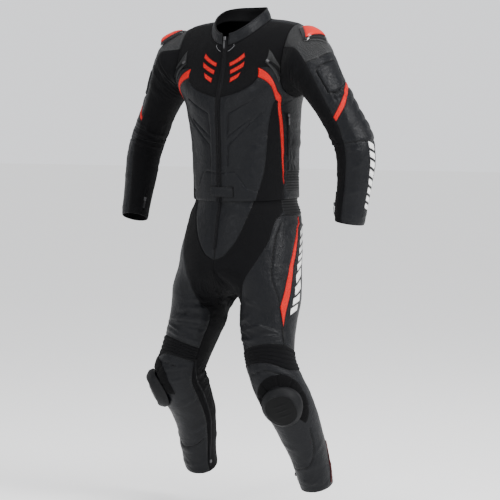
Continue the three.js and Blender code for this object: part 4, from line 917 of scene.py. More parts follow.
back_panel = patch(torso, [back_seam], [hem_back], [side_back], [side_back.mirrored()])
cloth("jacket_back", torso, [back_panel], LEATHER)
cloth("jacket_back_yoke", torso, [patch(
    torso, [shoulder_seam.back(), neck_back, shoulder_seam.mirrored()], [back_seam],
    [hole_back_seam], [hole_back_seam.mirrored()],
)], LEATHER)


# Collar: a padded leather band round the neck, open in front over the zip, with its upper edge
# turned over a soft roll and stitched down.
COLLAR_OPEN_TOP = 9
neck_open = zip_edge(NECK)[0]
collar_edge = seam(collar, [(COLLAR_OPEN_TOP, 2), (neck_open, 0)], 2)
collar_top = seam(collar, [(COLLAR_OPEN_TOP, 2), (360 - COLLAR_OPEN_TOP, 2)], 18)


def collar_relief(at):
    """A roll along the top, and a cushion below the row of stitches under it."""
    roll = 1.3 * bump((at.ring - 1.86) / 0.2)
    cushion = 1.2 * bump((at.ring - 0.85) / 0.75)
    return roll + cushion - 0.7 * bump((at.ring - 1.62) / 0.07)


collar_foot = Seam(lambda count: np.stack([
    line_up([neck_front, neck_side, neck_back, neck_side.mirrored().back(), neck_front.mirrored().back()],
            count // 18)[:, 0],
    np.zeros(count + 1),
], -1), 18)
cloth("collar", collar, [
    patch(collar, [collar_top], [collar_foot], [collar_edge], [collar_edge.mirrored()], cell=3.0),
], LEATHER, collar_relief)


# Sleeves: leather outside with a shoulder piece, a red stripe over the elbow's ribs and a forearm, and
# stretch fabric inside from the armpit to the cuff. They are set in at the armhole.
#    x    y     z  tilt lean outer inner fore aft
ARMS = {
    "L": np.array([
        [216, 2, -96, 22, 0, 72, 82, 88, 96],
        [236, 5, -124, 44, -3, 66, 70, 76, 80],
        [266, 14, -176, 57, -8, 58, 58, 64, 65],
        [303, 28, -246, 64, -6, 54, 50, 57, 56],
        [334, 38, -310, 72, -2, 56, 50, 55, 56],
        [344, 41, -362, 90, 0, 54, 49, 53, 54],
        [340, 42, -425, 97, 0, 48, 47, 49, 49],
        [332, 43, -485, 98, 0, 43, 44, 45, 45],
        [325, 44, -538, 99, 0, 40, 42, 41, 41],
    ]),
    "R": np.array([
        [214, 2, -96, 22, 0, 68, 82, 88, 96],
        [238, 6, -124, 44, -3, 60, 70, 76, 80],
        [272, 16, -176, 56, -8, 50, 56, 65, 66],
        [318, 32, -246, 62, -6, 46, 47, 57, 57],
        [352, 38, -310, 72, 4, 46, 45, 55, 56],
        [366, 32, -362, 86, 14, 46, 46, 52, 54],
        [364, 14, -425, 92, 16, 43, 43, 48, 48],
        [361, -6, -485, 94, 18, 39, 39, 43, 43],
        [356, -26, -538, 94, 20, 37, 37, 40, 40],
    ]),
}
CUFF = 9
HOLE_STEPS = np.linspace(0, 360, 7201)
HOLE_POINTS = torso_at(*np.moveaxis(armhole_place(HOLE_STEPS), -1, 0))


def armhole_point(around):
    turn = around % 360
    y, z = (np.interp(turn, HOLE_STEPS, HOLE_POINTS[:, k]) for k in (1, 2))
    return np.stack([np.full(around.shape, ARMHOLE_X), y, z], -1)


def sleeve_section(row, around):
    """Four quarter ovals round the middle of the section, out, forwards, in and back."""
    x, y, z, tilt, lean, outer, inner, fore, aft = row
    tilt, lean = math.radians(tilt), math.radians(lean)
    out = np.array([math.sin(tilt), 0, math.cos(tilt)])
    down = np.array([math.cos(tilt), 0, -math.sin(tilt)])
    ahead = np.array([0, -math.cos(lean), 0]) - math.sin(lean) * down
    s, c = np.sin(np.radians(around))[..., None], np.cos(np.radians(around))[..., None]
    sideways, forwards = np.where(c > 0, outer, inner) * c * out, np.where(s > 0, fore, aft) * s * ahead
    return np.array([x, y, z]) + sideways + forwards


def arm_at(side):
    hand = np.array([1 if side == "L" else -1, 1, 1])

    def at(around, ring):
        around, ring = np.broadcast_arrays(np.asarray(around, float), np.asarray(ring, float))
        rows = [sleeve_section(row, around) for row in ARMS[side]]
        return through(np.stack([armhole_point(around)] + rows), ring) * hand

    return at


ARM_FOLDS = {
    "both": [
        (150, 4.62, 60, 0.16, 3.0, 0), (165, 5.02, 62, 0.15, 3.6, 0), (150, 5.42, 50, 0.15, 2.6, 0),
        (120, 1.55, 46, 0.30, 3.0, 0), (110, 1.05, 50, 0.22, 2.0, 0.3), (128, 2.05, 44, 0.2, -1.4, -0.3),
        (190, 6.1, 80, 0.16, 1.6, 0.3), (170, 6.7, 90, 0.14, 1.5, -0.3), (20, 8.55, 90, 0.13, 1.0, 0.2),
        (250, 4.3, 50, 0.2, 1.8, -0.3), (250, 1.6, 50, 0.3, 2.2, 0.4), (236, 2.4, 50, 0.25, 1.6, -0.4),
    ],
    "L": [
        (92, 2.3, 34, 0.22, 2.2, 0.5), (100, 3.0, 36, 0.2, 1.8, 0.5), (96, 3.6, 40, 0.18, 1.8, 0.3),
        (100, 4.3, 44, 0.15, 2.0, 0.2), (104, 4.9, 48, 0.14, 2.0, 0.0), (60, 2.75, 26, 0.16, 1.5, 0.6),
        (26, 3.50, 38, 0.10, 3.4, -0.2), (70, 5.6, 50, 0.13, 2.0, -0.3), (60, 3.62, 24, 0.10, 2.2, 0.6),
        (60, 7.4, 60, 0.18, 1.8, 0.4), (40, 4.6, 40, 0.12, 1.6, 0.5), (56, 6.3, 44, 0.14, 2.0, 0.6),
        (30, 6.9, 40, 0.14, 1.4, -0.5), (84, 3.9, 24, 0.12, 2.0, 0.7),
    ],
    "R": [
        (80, 2.1, 40, 0.25, 2.4, 0.5), (88, 2.8, 40, 0.2, 1.8, 0.4), (80, 4.35, 60, 0.10, 2.0, 0.0),
        (84, 4.62, 66, 0.09, -1.6, 0.0), (88, 4.85, 66, 0.10, 2.2, 0.0), (84, 5.1, 66, 0.09, -1.4, 0.0),
        (84, 5.35, 60, 0.10, 2.0, 0.0), (90, 5.75, 50, 0.12, 1.4, 0.1), (70, 7.1, 60, 0.2, 1.2, 0.3),
    ],
}


def arm_crumple(around, ring):
    """Most in the crook of the elbow and the armpit, and some at the cuff."""
    inner = fade(np.cos(np.radians(around - 150)), -0.2, 0.8)
    return (
        (0.9 + 2.0 * inner) * bump((ring - 4.9) / 1.4) + 1.6 * inner * bump((ring - 1.6) / 1.7)
        + 0.8 * bump((ring - 8.7) / 0.8) + 0.6
    )


def arm_join(around, ring, points):
    """The folds fade out at the armhole, and down to a half at the cuff."""
    return fade(np.abs(points[..., 0]) - ARMHOLE_X, 0, 20) * (0.5 + 0.5 * fade(CUFF - ring, 0, 0.3))


def beyond(reach, side):
    """Keeps points at least reach mm from the middle plane, on their own side of it."""
    def limit(points):
        x = np.maximum(points[..., :1], reach) if side == "L" else np.minimum(points[..., :1], -reach)
        return np.concatenate([x, points[..., 1:]], -1)

    return limit


ARM_FORMS = {
    side: Form(arm_at(side), ARM_FOLDS["both"] + ARM_FOLDS[side], arm_crumple, arm_join,
               beyond(ARMHOLE_X + SEAM_GAP, side), flat_edge=True)
    for side in "LR"
}
BOX = [(56, 2.36), (2, 2.34), (-14, 2.60), (2, 3.22), (36, 3.40), (60, 3.26), (60, 2.50), (56, 2.36)]
BOX_LINES = [list(side) for side in zip(BOX, BOX[1:])]
ELBOW_RIB = 2.4


def box_relief(at):
    """The stitched armour box stands out by 2.6 mm inside its line, and puckers under its edge."""
    turn = (at.angle + 180) % 360 - 180
    upright = fade(at.ring, 2.36, 2.46) * fade(3.34 - at.ring, 0, 0.08)
    pucker = bump((at.ring - 3.5) / 0.22) * bump((turn - 32) / 44) * np.sin(turn * 0.45)
    return 2.6 * fade(turn, -8, 0) * fade(60 - turn, 0, 5) * upright + 1.5 * pucker


def elbow_relief(at):
    """Five ribs across the elbow: sines of the share down the piece, over its outer and back part."""
    wave = np.abs(np.sin(at.t * math.pi * 5)) ** 0.8
    return ELBOW_RIB * wave * bump((at.s - 0.75) / 0.55)


for side in "LR":
    arm = ARM_FORMS[side]
    hole_over = seam(arm, [(59, 0), (0, 0), (-70, 0)], 6)
    hole_under = seam(arm, [(59, 0), (120, 0), (180, 0), (240, 0), (290, 0)], 8)
    cap_front = seam(arm, [(59, 0), (66, 1), (70, 1.9)], 3)
    cap_back = seam(arm, [(-70, 0), (-70, 1.9)], 3)
    cap_end = seam(arm, [(70, 1.9), (35, 2.05), (-20, 1.95), (-70, 1.9)], 6)
    arm_front = seam(arm, [(70, 1.9), (78, 3.1), (82, 4.05)], 4)
    arm_back = seam(arm, [(-70, 1.9), (-70, 3.0)], 4)
    red_upper = seam(arm, [(82, 4.05), (36, 3.65), (-8, 3.22), (-70, 3.0)], 6)
    red_front = seam(arm, [(82, 4.05), (80, 4.25)], 1)
    red_back = seam(arm, [(-70, 3.0), (-70, 3.2)], 1)
    red_lower = seam(arm, [(80, 4.25), (36, 3.87), (-8, 3.42), (-70, 3.2)], 6)
    elbow_front = seam(arm, [(80, 4.25), (88, 5.2)], 3)
    elbow_back = seam(arm, [(-70, 3.2), (-80, 5.2)], 3)
    elbow_seam = seam(arm, [(88, 5.2), (0, 5.3), (-80, 5.2)], 6)
    elbow_inner = seam(arm, [(88, 5.2), (180, 5.05), (280, 5.2)], 8)
    fore_front = seam(arm, [(88, 5.2), (100, CUFF)], 6)
    fore_back = seam(arm, [(-80, 5.2), (-92, CUFF)], 6)
    cuff_over = seam(arm, [(100, CUFF), (-92, CUFF)], 6)
    cuff_under = seam(arm, [(100, CUFF), (268, CUFF)], 8)
    sleeve_pieces = {
        "shoulder": (PRESSED, None, [],
                     patch(arm, [hole_over], [cap_end], [cap_front], [cap_back], cell=3.0)),
        "sleeve_top": (LEATHER, box_relief, BOX_LINES,
                       patch(arm, [cap_end], [red_upper], [arm_front], [arm_back], cell=2.2)),
        "sleeve_stripe": (RED, None, [],
                          patch(arm, [red_upper], [red_lower], [red_front], [red_back], cell=2.2)),
        "elbow": (LEATHER, elbow_relief, [],
                  patch(arm, [red_lower], [elbow_seam], [elbow_front], [elbow_back], cell=3.0, rows=20)),
        "forearm": (LEATHER, None, [[(-16, 5.3), (-26, CUFF)]],
                    patch(arm, [elbow_seam], [cuff_over], [fore_front], [fore_back], cell=3.0)),
        "sleeve_under": (KNIT, None, [], patch(
            arm, [hole_under], [elbow_inner], [cap_front, arm_front, red_front, elbow_front],
            [run.turned(360) for run in (cap_back, arm_back, red_back, elbow_back)], cell=3.6)),
        "forearm_under": (KNIT, None, [], patch(
            arm, [elbow_inner], [cuff_under], [fore_front], [fore_back.turned(360)], cell=3.6)),
    }
    for base_name, (stuff, relief, lines, grid) in sleeve_pieces.items():
        cloth(f"{base_name}_{side}", arm, [grid], stuff, relief, lines=lines)


# Trousers: a fly of leather, stretch fabric down the inside of the thighs, leather thighs with a long
# red triangle, ribbed knees, leather shins and stretch calves; the seat is one piece behind.
#     z     y   half  fore  aft  square
HIPS = np.array([
    [-458, 25.6, 144.4, 132.4, 119.4, 2.2],
    [-486, 25.4, 145.2, 132.8, 120.4, 2.2],
    [-520, 21, 160, 137, 125, 2.2],
    [-570, 11, 171, 136, 128, 2.2],
    [-620, 0, 180, 134, 128, 2.2],
    [-668, -10, 186, 130, 122, 2.2],
])
CROTCH = len(HIPS) - 1
CROTCH_DROP = 62
#     x    y    z  outer inner fore aft
LEGS = {
    "L": np.array([
        [102, -22, -750, 90, 74, 98, 98],
        [106, -32, -808, 84, 70, 86, 86],
        [116, -46, -868, 76, 64, 76, 76],
        [134, -58, -925, 70, 64, 70, 70],
        [158, -60, -978, 72, 66, 72, 68],
        [176, -38, -1035, 72, 62, 68, 68],
        [188, -8, -1095, 66, 60, 60, 64],
        [196, 22, -1155, 58, 54, 54, 58],
        [200, 50, -1215, 52, 49, 48, 52],
        [201, 74, -1275, 47, 46, 45, 48],
    ], float),
    "R": np.array([
        [110, -24, -750, 92, 72, 100, 98],
        [118, -34, -808, 86, 68, 88, 86],
        [132, -48, -868, 78, 62, 78, 76],
        [150, -60, -922, 72, 62, 72, 70],
        [168, -62, -972, 72, 64, 76, 76],
        [170, -30, -1030, 70, 62, 68, 78],
        [170, 4, -1088, 64, 60, 60, 68],
        [176, 30, -1147, 56, 54, 54, 58],
        [188, 54, -1205, 51, 49, 48, 52],
        [196, 78, -1262, 46, 45, 45, 48],
    ], float),
}
ANKLE = CROTCH + len(LEGS["L"])
HIP_TOP = np.array([92.0, -8.0, -690.0])
OWN_BEND = 40


def hip_section(row, angle):
    """A squared oval; the angles -45 to 225 are the half turn from the middle of the front."""
    z, y, half, fore, aft, square = row
    turn = np.radians(np.clip((angle + 45) / 270 * 180, 0, 180))
    s, c = np.sin(turn), np.cos(turn)
    depth = np.where(c > 0, fore, aft) * rounded(c, square)
    return np.stack([half * rounded(s, square), y - depth, z + 0 * s], -1)


def crotch_section(angle):
    """The lowest hip section, closed between the legs by an arc that drops by a power of its sine."""
    z, y, half, fore, aft, square = HIPS[CROTCH]
    turn = math.pi * (angle + 135) / 90
    c, s = np.cos(turn), np.maximum(np.sin(turn), 0)
    inner = np.stack([0 * angle, y + np.where(c > 0, aft, fore) * c, z - CROTCH_DROP * s ** 1.1], -1)
    return np.where((angle >= -45)[..., None], hip_section(HIPS[CROTCH], angle), inner)


def leg_frames(rows):
    """Middle, outward and forward direction of each section, square to the line of the middles."""
    middle = rows[:, :3]
    line = np.concatenate([HIP_TOP[None], middle, 2 * middle[-1:] - middle[-2:-1]])
    axis = line[2:] - line[:-2]
    axis /= np.linalg.norm(axis, axis=1, keepdims=True)
    out = np.array([1, 0, 0]) - axis[:, :1] * axis
    out /= np.linalg.norm(out, axis=1, keepdims=True)
    ahead = np.cross(out, axis)
    return middle, out, ahead * -np.sign(ahead[:, 1:2])


def leg_at(side):
    rows = LEGS[side]
    frames = leg_frames(rows)
    hand = np.array([1 if side == "L" else -1, 1, 1])

    def section(i, angle):
        middle, out, ahead = (part[i] for part in frames)
        outer, inner, fore, aft = rows[i, 3:]
        s, c = np.sin(np.radians(angle))[..., None], np.cos(np.radians(angle))[..., None]
        return middle + np.where(s > 0, outer, inner) * s * out + np.where(c > 0, fore, aft) * c * ahead

    def above(i, angle, crotch, first):
        """The hips, or between the legs a straight start, blended to the hips at front and back."""
        along = (angle + 135) / 90
        share = ((2 * along - 1) ** 2)[..., None]
        edge = np.where((along > 0.5)[..., None], hip_section(HIPS[i], 0 * angle - 45),
                        hip_section(HIPS[i], 0 * angle + 225))
        start = 2 * crotch - first
        between = start + (edge - start) * share
        return np.where((angle >= -45)[..., None], hip_section(HIPS[i], angle), between)

    def at(angle, ring):
        angle, ring = np.broadcast_arrays(np.asarray(angle, float), np.asarray(ring, float))
        angle = np.where(angle > 225 + 1e-6, angle - 360, angle)
        angle = np.where(angle < -135 - 1e-6, angle + 360, angle)
        crotch, first = crotch_section(angle), section(0, angle)
        hips = [above(i, angle, crotch, first) for i in range(CROTCH)]
        away = np.minimum(np.minimum(np.abs(angle + 45), np.abs(angle - 225)), np.abs(angle + 135))
        share = fade(away, 0, OWN_BEND)[..., None]
        onward = 2 * crotch - hips[-1]
        below = onward + (first - onward) * share
        first = np.where((ring < CROTCH)[..., None], below, first)
        legs = [section(i, angle) for i in range(1, len(rows))]
        return through(np.stack(hips + [crotch, first] + legs), ring) * hand

    return at


LEG_FOLDS = {
    "both": [
        (-10, 7.55, 50, 0.20, 3.2, 0), (8, 8.05, 60, 0.17, 3.6, 0), (250, 9.75, 55, 0.20, 4.0, 0),
        (235, 10.35, 50, 0.18, 3.4, 0), (205, 6.05, 50, 0.25, 3.4, 0), (20, 13.7, 60, 0.22, 2.2, 0),
        (215, 9.3, 50, 0.16, 2.4, 0.3), (230, 10.9, 60, 0.18, 2.2, -0.3), (200, 5.4, 50, 0.2, 2.2, 0.5),
        (190, 7.1, 60, 0.3, 1.6, 0.3), (240, 12.2, 70, 0.3, 1.6, 0.3), (230, 13.4, 70, 0.22, 1.8, -0.3),
        (100, 2.45, 34, 0.2, 2.4, 0.1), (80, 2.75, 30, 0.14, -1.3, 0.2), (10, 14.5, 80, 0.16, 1.4, 0.2),
        (150, 14.2, 60, 0.16, 1.6, -0.2), (60, 13.1, 50, 0.2, 1.4, -0.5),
        (-90, 6.0, 34, 0.2, 2.0, 0.3), (-80, 6.6, 36, 0.18, 1.8, -0.3), (-95, 7.4, 40, 0.2, 1.8, 0.2),
        (-20, 4.9, 28, 0.24, 0.8, 2.2), (-12, 4.2, 26, 0.2, 0.6, 2.4), (-30, 5.5, 30, 0.2, 0.7, 1.8),
    ],
    "L": [
        (-22, 7.15, 34, 0.17, 4.6, -0.7), (26, 7.62, 34, 0.14, 5.0, 0.9), (-24, 8.0, 40, 0.13, 4.4, 0.5),
        (38, 8.0, 24, 0.10, 3.6, 0.5), (0, 7.45, 32, 0.10, -3.4, -0.4), (10, 6.5, 36, 0.16, 2.4, 1.0),
        (60, 5.0, 40, 0.4, 1.4, 1.0), (-20, 12.6, 40, 0.2, 1.8, 0.5), (120, 2.6, 30, 0.12, 2.6, 0.2),
    ],
    "R": [
        (-6, 7.3, 56, 0.16, 6.0, 0.4), (6, 7.85, 54, 0.13, 5.5, -0.3), (-20, 6.75, 46, 0.18, 5.0, 0.6),
        (-24, 7.58, 44, 0.11, -4.0, 0.2), (-20, 8.12, 44, 0.09, 4.0, 0.1), (-16, 7.03, 44, 0.10, -3.6, 0.4),
        (-30, 6.3, 34, 0.16, 3.2, 0.6), (-14, 9.45, 50, 0.12, 3.6, 0.5), (-20, 9.9, 40, 0.1, 2.6, 0.3),
        (-40, 12.4, 40, 0.24, 1.8, 0.5), (-40, 10.9, 30, 0.2, 1.6, 0.2),
    ],
}


def leg_crumple(angle, ring):
    """Most behind the knee, between the thighs and over the knee, and some at the ankle and seat."""
    behind = fade(np.cos(np.radians(angle - 225)), 0.1, 0.8)
    inner = fade(np.cos(np.radians(angle + 80)), 0.1, 0.9)
    front = fade(np.cos(np.radians(angle)), 0.2, 0.9)
    return (
        0.35 + 2.2 * behind * bump((ring - 10.2) / 1.7) + 1.8 * inner * bump((ring - 6.2) / 2.2)
        + 1.9 * front * bump((ring - 7.7) / 0.9) + 1.3 * bump((ring - 14.3) / 1.4)
        + 1.0 * behind * bump((ring - 5.6) / 1.4)
    )


def leg_join(angle, ring, points):
    """The folds start from nothing at the waist, under the jacket."""
    return 0.1 * fade(ring, 0, 1.2) + 0.9 * fade(ring, 1.0, 2.1)


LEG_FORMS = {
    side: Form(leg_at(side), LEG_FOLDS["both"] + LEG_FOLDS[side], leg_crumple, leg_join,
               beyond(SEAM_GAP, side), split=CROTCH)
    for side in "LR"
}
RIB = 1.9
SIDE_SEAM = 135
THIGH_LINES = {
    "L": [[(59, 2.45), (45, 3.45), (39, 5.20), (55, 6.35), (69, 8.40)]],
    "R": [[(62, 2.45), (50, 3.45), (44, 5.20), (58, 6.35), (69, 8.40)]],
}
UNDER_KNEE = [(-20, 9.35), (20, 9.4), (79, 10.0)]
SHIN_LINES = {
    "L": [[(66, 12.0), (58, 12.9), (35, 13.55), (0, 13.75), (-27, 13.80), (-55, 13.6)], UNDER_KNEE],
    "R": [[(60, 12.6), (40, 13.3), (21, 13.55), (-20, 13.4), (-53, 13.05)], UNDER_KNEE],
}


def hip_insert(at):
    """1 on the ribbed insert at the outer side of the waist, 0 round it."""
    upright = (at.ring < 2.5) * fade(2.0 - at.ring, 0, 0.03)
    return upright * fade(at.angle, 66, 70) * fade(SIDE_SEAM - 3 - at.angle, 0, 2)


def hip_relief(at):
    return hip_insert(at) * insert_ribs(at)


def knee_relief(at):
    """Five ribs round the front of the knee: the size of a sine of the share down the piece."""
    return RIB * np.abs(np.sin(at.t * math.pi * 5)) ** 0.8 * fade(at.s, 0, 0.04) * fade(1 - at.s, 0, 0.04)


seat_grids = []
for side in "LR":
    leg = LEG_FORMS[side]
    waist_fly = seam(leg, [(-45, 0), (15, 0)], 3)
    waist_stretch = seam(leg, [(15, 0), (69, 0)], 3)
    waist_hip = seam(leg, [(69, 0), (SIDE_SEAM, 0)], 8)
    waist_seat = seam(leg, [(SIDE_SEAM, 0), (225, 0)], 4)
    fly_centre = seam(leg, [(-45, 0), (-45, 4.45)], 5)
    fly_edge = seam(leg, [(15, 0), (12, 1), (-13, 3.1), (-33, 4.2)], 5)
    fly_bottom = seam(leg, [(-45, 4.45), (-33, 4.2)], 3)
    centre_low = seam(leg, [(-45, 4.45), (-45, 5)], 1)
    groin = seam(leg, [(-45, 5), (-17, 5.85)], 3)
    crotch = seam(leg, [(-45, 5), (-90, 5), (-135, 5)], 6)
    hip_edge = seam(leg, [(69, 0), (67, 1.5), (57, 2.0)], 2)
    thigh_front_1 = seam(leg, [(57, 2.0), (45, 2.4), (34, 3.3), (20, 4.1), (3, 5.05), (-17, 5.85)], 7)
    thigh_front_2 = seam(leg, [(-17, 5.85), (-40, 6.4), (-63, 6.85), (-65, 8.35)], 5)
    hip_line_a = seam(leg, [(57, 2.0), (78, 1.95), (101, 2.1)], 5)
    red_top = seam(leg, [(101, 2.1), (106, 2.1)], 1)
    hip_line_b = seam(leg, [(106, 2.1), (SIDE_SEAM, 2.05)], 2)
    red_left = seam(leg, [(101, 2.1), (57, 6.6)], 9)
    red_right = seam(leg, [(106, 2.1), (73, 6.4), (67, 7.55)], 9)
    red_bottom = seam(leg, [(57, 6.6), (67, 7.55)], 1)
    below_red = seam(leg, [(67, 7.55), (69, 8.45)], 2)
    rib_top_a = seam(leg, [(-65, 8.35), (19, 8.35), (69, 8.45)], 5)
    rib_top_b = seam(leg, [(69, 8.45), (97, 8.6), (SIDE_SEAM, 8.7)], 2)
    rib_in = seam(leg, [(-65, 8.35), (-65, 8.95)], 3)
    rib_out = seam(leg, [(SIDE_SEAM, 8.7), (SIDE_SEAM, 9.85)], 3)
    rib_bottom = seam(leg, [(-65, 8.95), (13, 9.05), (79, 9.65), (SIDE_SEAM, 9.85)], 7)
    hip_side = seam(leg, [(SIDE_SEAM, 0), (SIDE_SEAM, 2.05)], 2)
    thigh_side = seam(leg, [(SIDE_SEAM, 2.05), (SIDE_SEAM, 8.7)], 11)
    centre_back = seam(leg, [(225, 0), (225, 5)], 8)
    thigh_back = seam(leg, [(-135, 5), (-135, 7), (-125, 9.8)], 8)
    knee_back_in = seam(leg, [(-65, 8.95), (-95, 9.6), (-125, 9.8)], 9)
    knee_back_out = seam(leg, [(SIDE_SEAM, 9.85), (235, 9.8)], 4)
    calf_in = seam(leg, [(-65, 8.95), (-68, 11), (-65, ANKLE)], 9)
    calf_out = seam(leg, [(SIDE_SEAM, 9.85), (125, 11), (122, ANKLE)], 9)
    ankle_front = seam(leg, [(-65, ANKLE), (122, ANKLE)], 7)
    ankle_back = seam(leg, [(122, ANKLE), (295, ANKLE)], 13)
    leg_pieces = {
        "fly": (LEATHER, None, None, [], [
            patch(leg, [waist_fly], [fly_bottom], [fly_centre], [fly_edge], cell=3.2)]),
        "thigh_stretch": (KNIT, None, None, [], [
            patch(leg, [waist_stretch], [groin], [fly_edge, fly_bottom.back(), centre_low],
                  [hip_edge, thigh_front_1], cell=3.6, sewn="tlr"),
            patch(leg, [groin.back(), crotch], [knee_back_in], [thigh_front_2, rib_in], [thigh_back],
                  cell=3.6, sewn="blr")]),
        "thigh": (LEATHER, hip_relief, {"insert": hip_insert}, THIGH_LINES[side], [
            patch(leg, [waist_hip], [hip_line_a, red_top, hip_line_b], [hip_edge], [hip_side],
                  cell=2.6, rows=26),
            patch(leg, [hip_line_a], [rib_top_a], [thigh_front_1, thigh_front_2],
                  [red_left, red_bottom, below_red], cell=3.2),
            patch(leg, [hip_line_b], [rib_top_b], [red_right, below_red], [thigh_side], cell=3.2)]),
        "thigh_stripe": (RED, None, None, [], [
            patch(leg, [red_top], [red_bottom], [red_left], [red_right], cell=2.4)]),
        "knee_ribs": (KNIT, knee_relief, None, [], [
            patch(leg, [rib_top_a, rib_top_b], [rib_bottom], [rib_in], [rib_out], cell=3.0, rows=17)]),
        "shin": (LEATHER, None, None, SHIN_LINES[side], [
            patch(leg, [rib_bottom], [ankle_front], [calf_in], [calf_out], cell=3.0)]),
        "calf": (KNIT, None, None, [], [
            patch(leg, [knee_back_out, knee_back_in.turned(360).back()], [ankle_back], [calf_out],
                  [calf_in.turned(360)], cell=4.0)]),
    }
    for base_name, (stuff, relief, kept, lines, grids) in leg_pieces.items():
        cloth(f"{base_name}_{side}", leg, grids, stuff, relief, kept, lines=lines)
    seat_grids.append(patch(leg, [waist_seat], [knee_back_out], [hip_side, thigh_side, rib_out],
                            [centre_back, thigh_back.turned(360)], cell=4.0))
cloth("seat", [LEG_FORMS["L"], LEG_FORMS["R"]], seat_grids, LEATHER)


# Plain slanted bars, sewn on as thin leather: red on both sides of the chest zip, white down the left
# forearm and the left thigh.
APPLIQUE = 0.9
# Chest: ring of a bar's inner upper corner, and how many degrees it reaches round the body
CHEST_BARS = [(8.05, 23.5), (7.2, 19.0), (6.35, 14.0)]
CHEST_BAR_TALL = 0.5
FOREARM_RINGS = np.arange(5.35, 7.9, 0.36)
THIGH_RINGS = np.arange(2.75, 6.45, 0.46)


def bars(name, form, quads, material, slot):
    cloth(name, form, [quad(form, *corners) for corners in quads], (material, slot, APPLIQUE), base=0.25,
          dip=0.35)


for side, sign in (("L", 1), ("R", -1)):
    quads = []
    for ring, reach in CHEST_BARS:
        inner, climb, low = 4.9 + 0.3 * (8 - ring), reach / 23.5, ring - CHEST_BAR_TALL
        quads.append([(sign * inner, ring), (sign * reach, ring + 0.85 * climb),
                      (sign * inner, low), (sign * (reach - 2.6), low + 0.75 * climb)])
    bars(f"chest_bars_{side}", torso, quads, RED_LEATHER, "red_leather")

quads = []
for ring in FOREARM_RINGS:
    middle = 2 - 9 * (ring - 5.35) / 2.4
    front, back = middle + 14, middle - 13
    quads.append([(front, ring - 0.05), (back, ring + 0.1), (front, ring + 0.22), (back, ring + 0.37)])
bars("forearm_bars_L", ARM_FORMS["L"], quads, WHITE_LEATHER, None)
quads = []
for ring in THIGH_RINGS:
    middle = 116 - 27 * (ring - 2.75) / 3.8
    front, back = middle - 10, middle + 10
    quads.append([(front, ring + 0.16), (back, ring - 0.16), (front, ring + 0.50), (back, ring + 0.18)])
bars("thigh_bars_L", LEG_FORMS["L"], quads, WHITE_LEATHER, None)


# Hem strap: a strip of leather that holds the two fronts together over the end of the zip. It is thicker
# than a bar and lies over the zip's tape.
STRAP_WALL = 1.8
strap = quad(torso, (-9, 0.62), (15.5, 0.6), (-9, 0.2), (15.5, 0.17))
cloth("hem_strap", torso, [strap], (BLACK_LEATHER, "black_leather", STRAP_WALL), base=1.7,
      dip=0.7)


# Zips: a woven tape with two rows of moulded teeth, and a die-cast slider whose pull tab is the CAD
# node. The front zip runs from the hem to the collar; the others lie on their panels.
TAPE_WALL = 1.0
TOOTH = {"width": 3.4, "length": 1.7, "height": 1.5}
TOOTH_PITCH = 2.6
TOOTH_ASIDE = 0.95
SLIDER_BODY = {"half": 4.3, "length": 11.5, "height": 3.5, "waist": 0.18}
BRIDGE = {"half": 1.4, "length": 7.5, "height": 2.2}
BRIDGE_UP = 2.9


def tape_finish():
    finish = Finish("zip_tape", {"Specular IOR Level": 0.12})
    soft = finish.noise(0.02, detail=3)
    thread = finish.noise(0.0008, detail=1, stretch=(1, 1, 3))
    return finish.set(
        colour=finish.blend(thread, (0.002, 0.002, 0.0022, 1), (0.007, 0.007, 0.008, 1)),
        roughness=0.72 + soft * 0.2, height=thread * 0.18,
    )


def metal_finish(name, dark, pale, shine):
    finish = Finish(name, {"Metallic": 0.9})
    wear_and_shade = finish.noise(0.006, detail=4, rough=0.65)
    fine = finish.noise(0.0009, detail=2)
    return finish.set(
        colour=finish.blend((wear_and_shade * 1.6 - 0.4).clear(), dark + (1,), pale + (1,)),
        roughness=shine + wear_and_shade * 0.18, height=fine * 0.04,
    )


ZIP_TAPE = tape_finish()
TAPE = (ZIP_TAPE, "zip_tape", TAPE_WALL)
ZIP_METAL = metal_finish("zip_metal", (0.05, 0.05, 0.052), (0.15, 0.15, 0.155), 0.3)
ZIP_TEETH = metal_finish("zip_teeth", (0.008, 0.008, 0.009), (0.025, 0.025, 0.027), 0.35)


def unit(v):
    return v / np.maximum(np.linalg.norm(v, axis=-1, keepdims=True), 1e-9)


def blocks(middles, x, y, z, width, length, height):
    """One small tapered block at each place: its top is 0.7 of its foot. Returns points, triangles."""
    foot = np.array([(-1, -1, 0), (1, -1, 0), (1, 1, 0), (-1, 1, 0)], float)
    top = foot * [0.7, 0.7, 1] + [0, 0, 1]
    shape = np.concatenate([foot, top]) * [width / 2, length / 2, height]
    points = middles[:, None] + (
        shape[None, :, :1] * x[:, None] + shape[None, :, 1:2] * y[:, None] + shape[None, :, 2:] * z[:, None]
    )
    one = np.array([
        (0, 2, 1), (0, 3, 2), (4, 5, 6), (4, 6, 7), (0, 1, 5), (0, 5, 4), (1, 2, 6), (1, 6, 5),
        (2, 3, 7), (2, 7, 6), (3, 0, 4), (3, 4, 7),
    ])
    triangles = (one[None] + 8 * np.arange(len(middles))[:, None, None]).reshape(-1, 3)
    return points.reshape(-1, 3), triangles


def tube_triangles(rows, wide):
    """The cells of a grid whose last column is joined to its first."""
    faces = grid_triangles(rows, wide + 1)
    return faces // (wide + 1) * wide + faces % (wide + 1) % wide


def packed(points, faces):
    """The mesh without flat faces and unused points, and which points it uses."""
    used, faces = np.unique(faces[real(faces)], return_inverse=True)
    return *outward(points[used], faces.reshape(-1, 3)), used


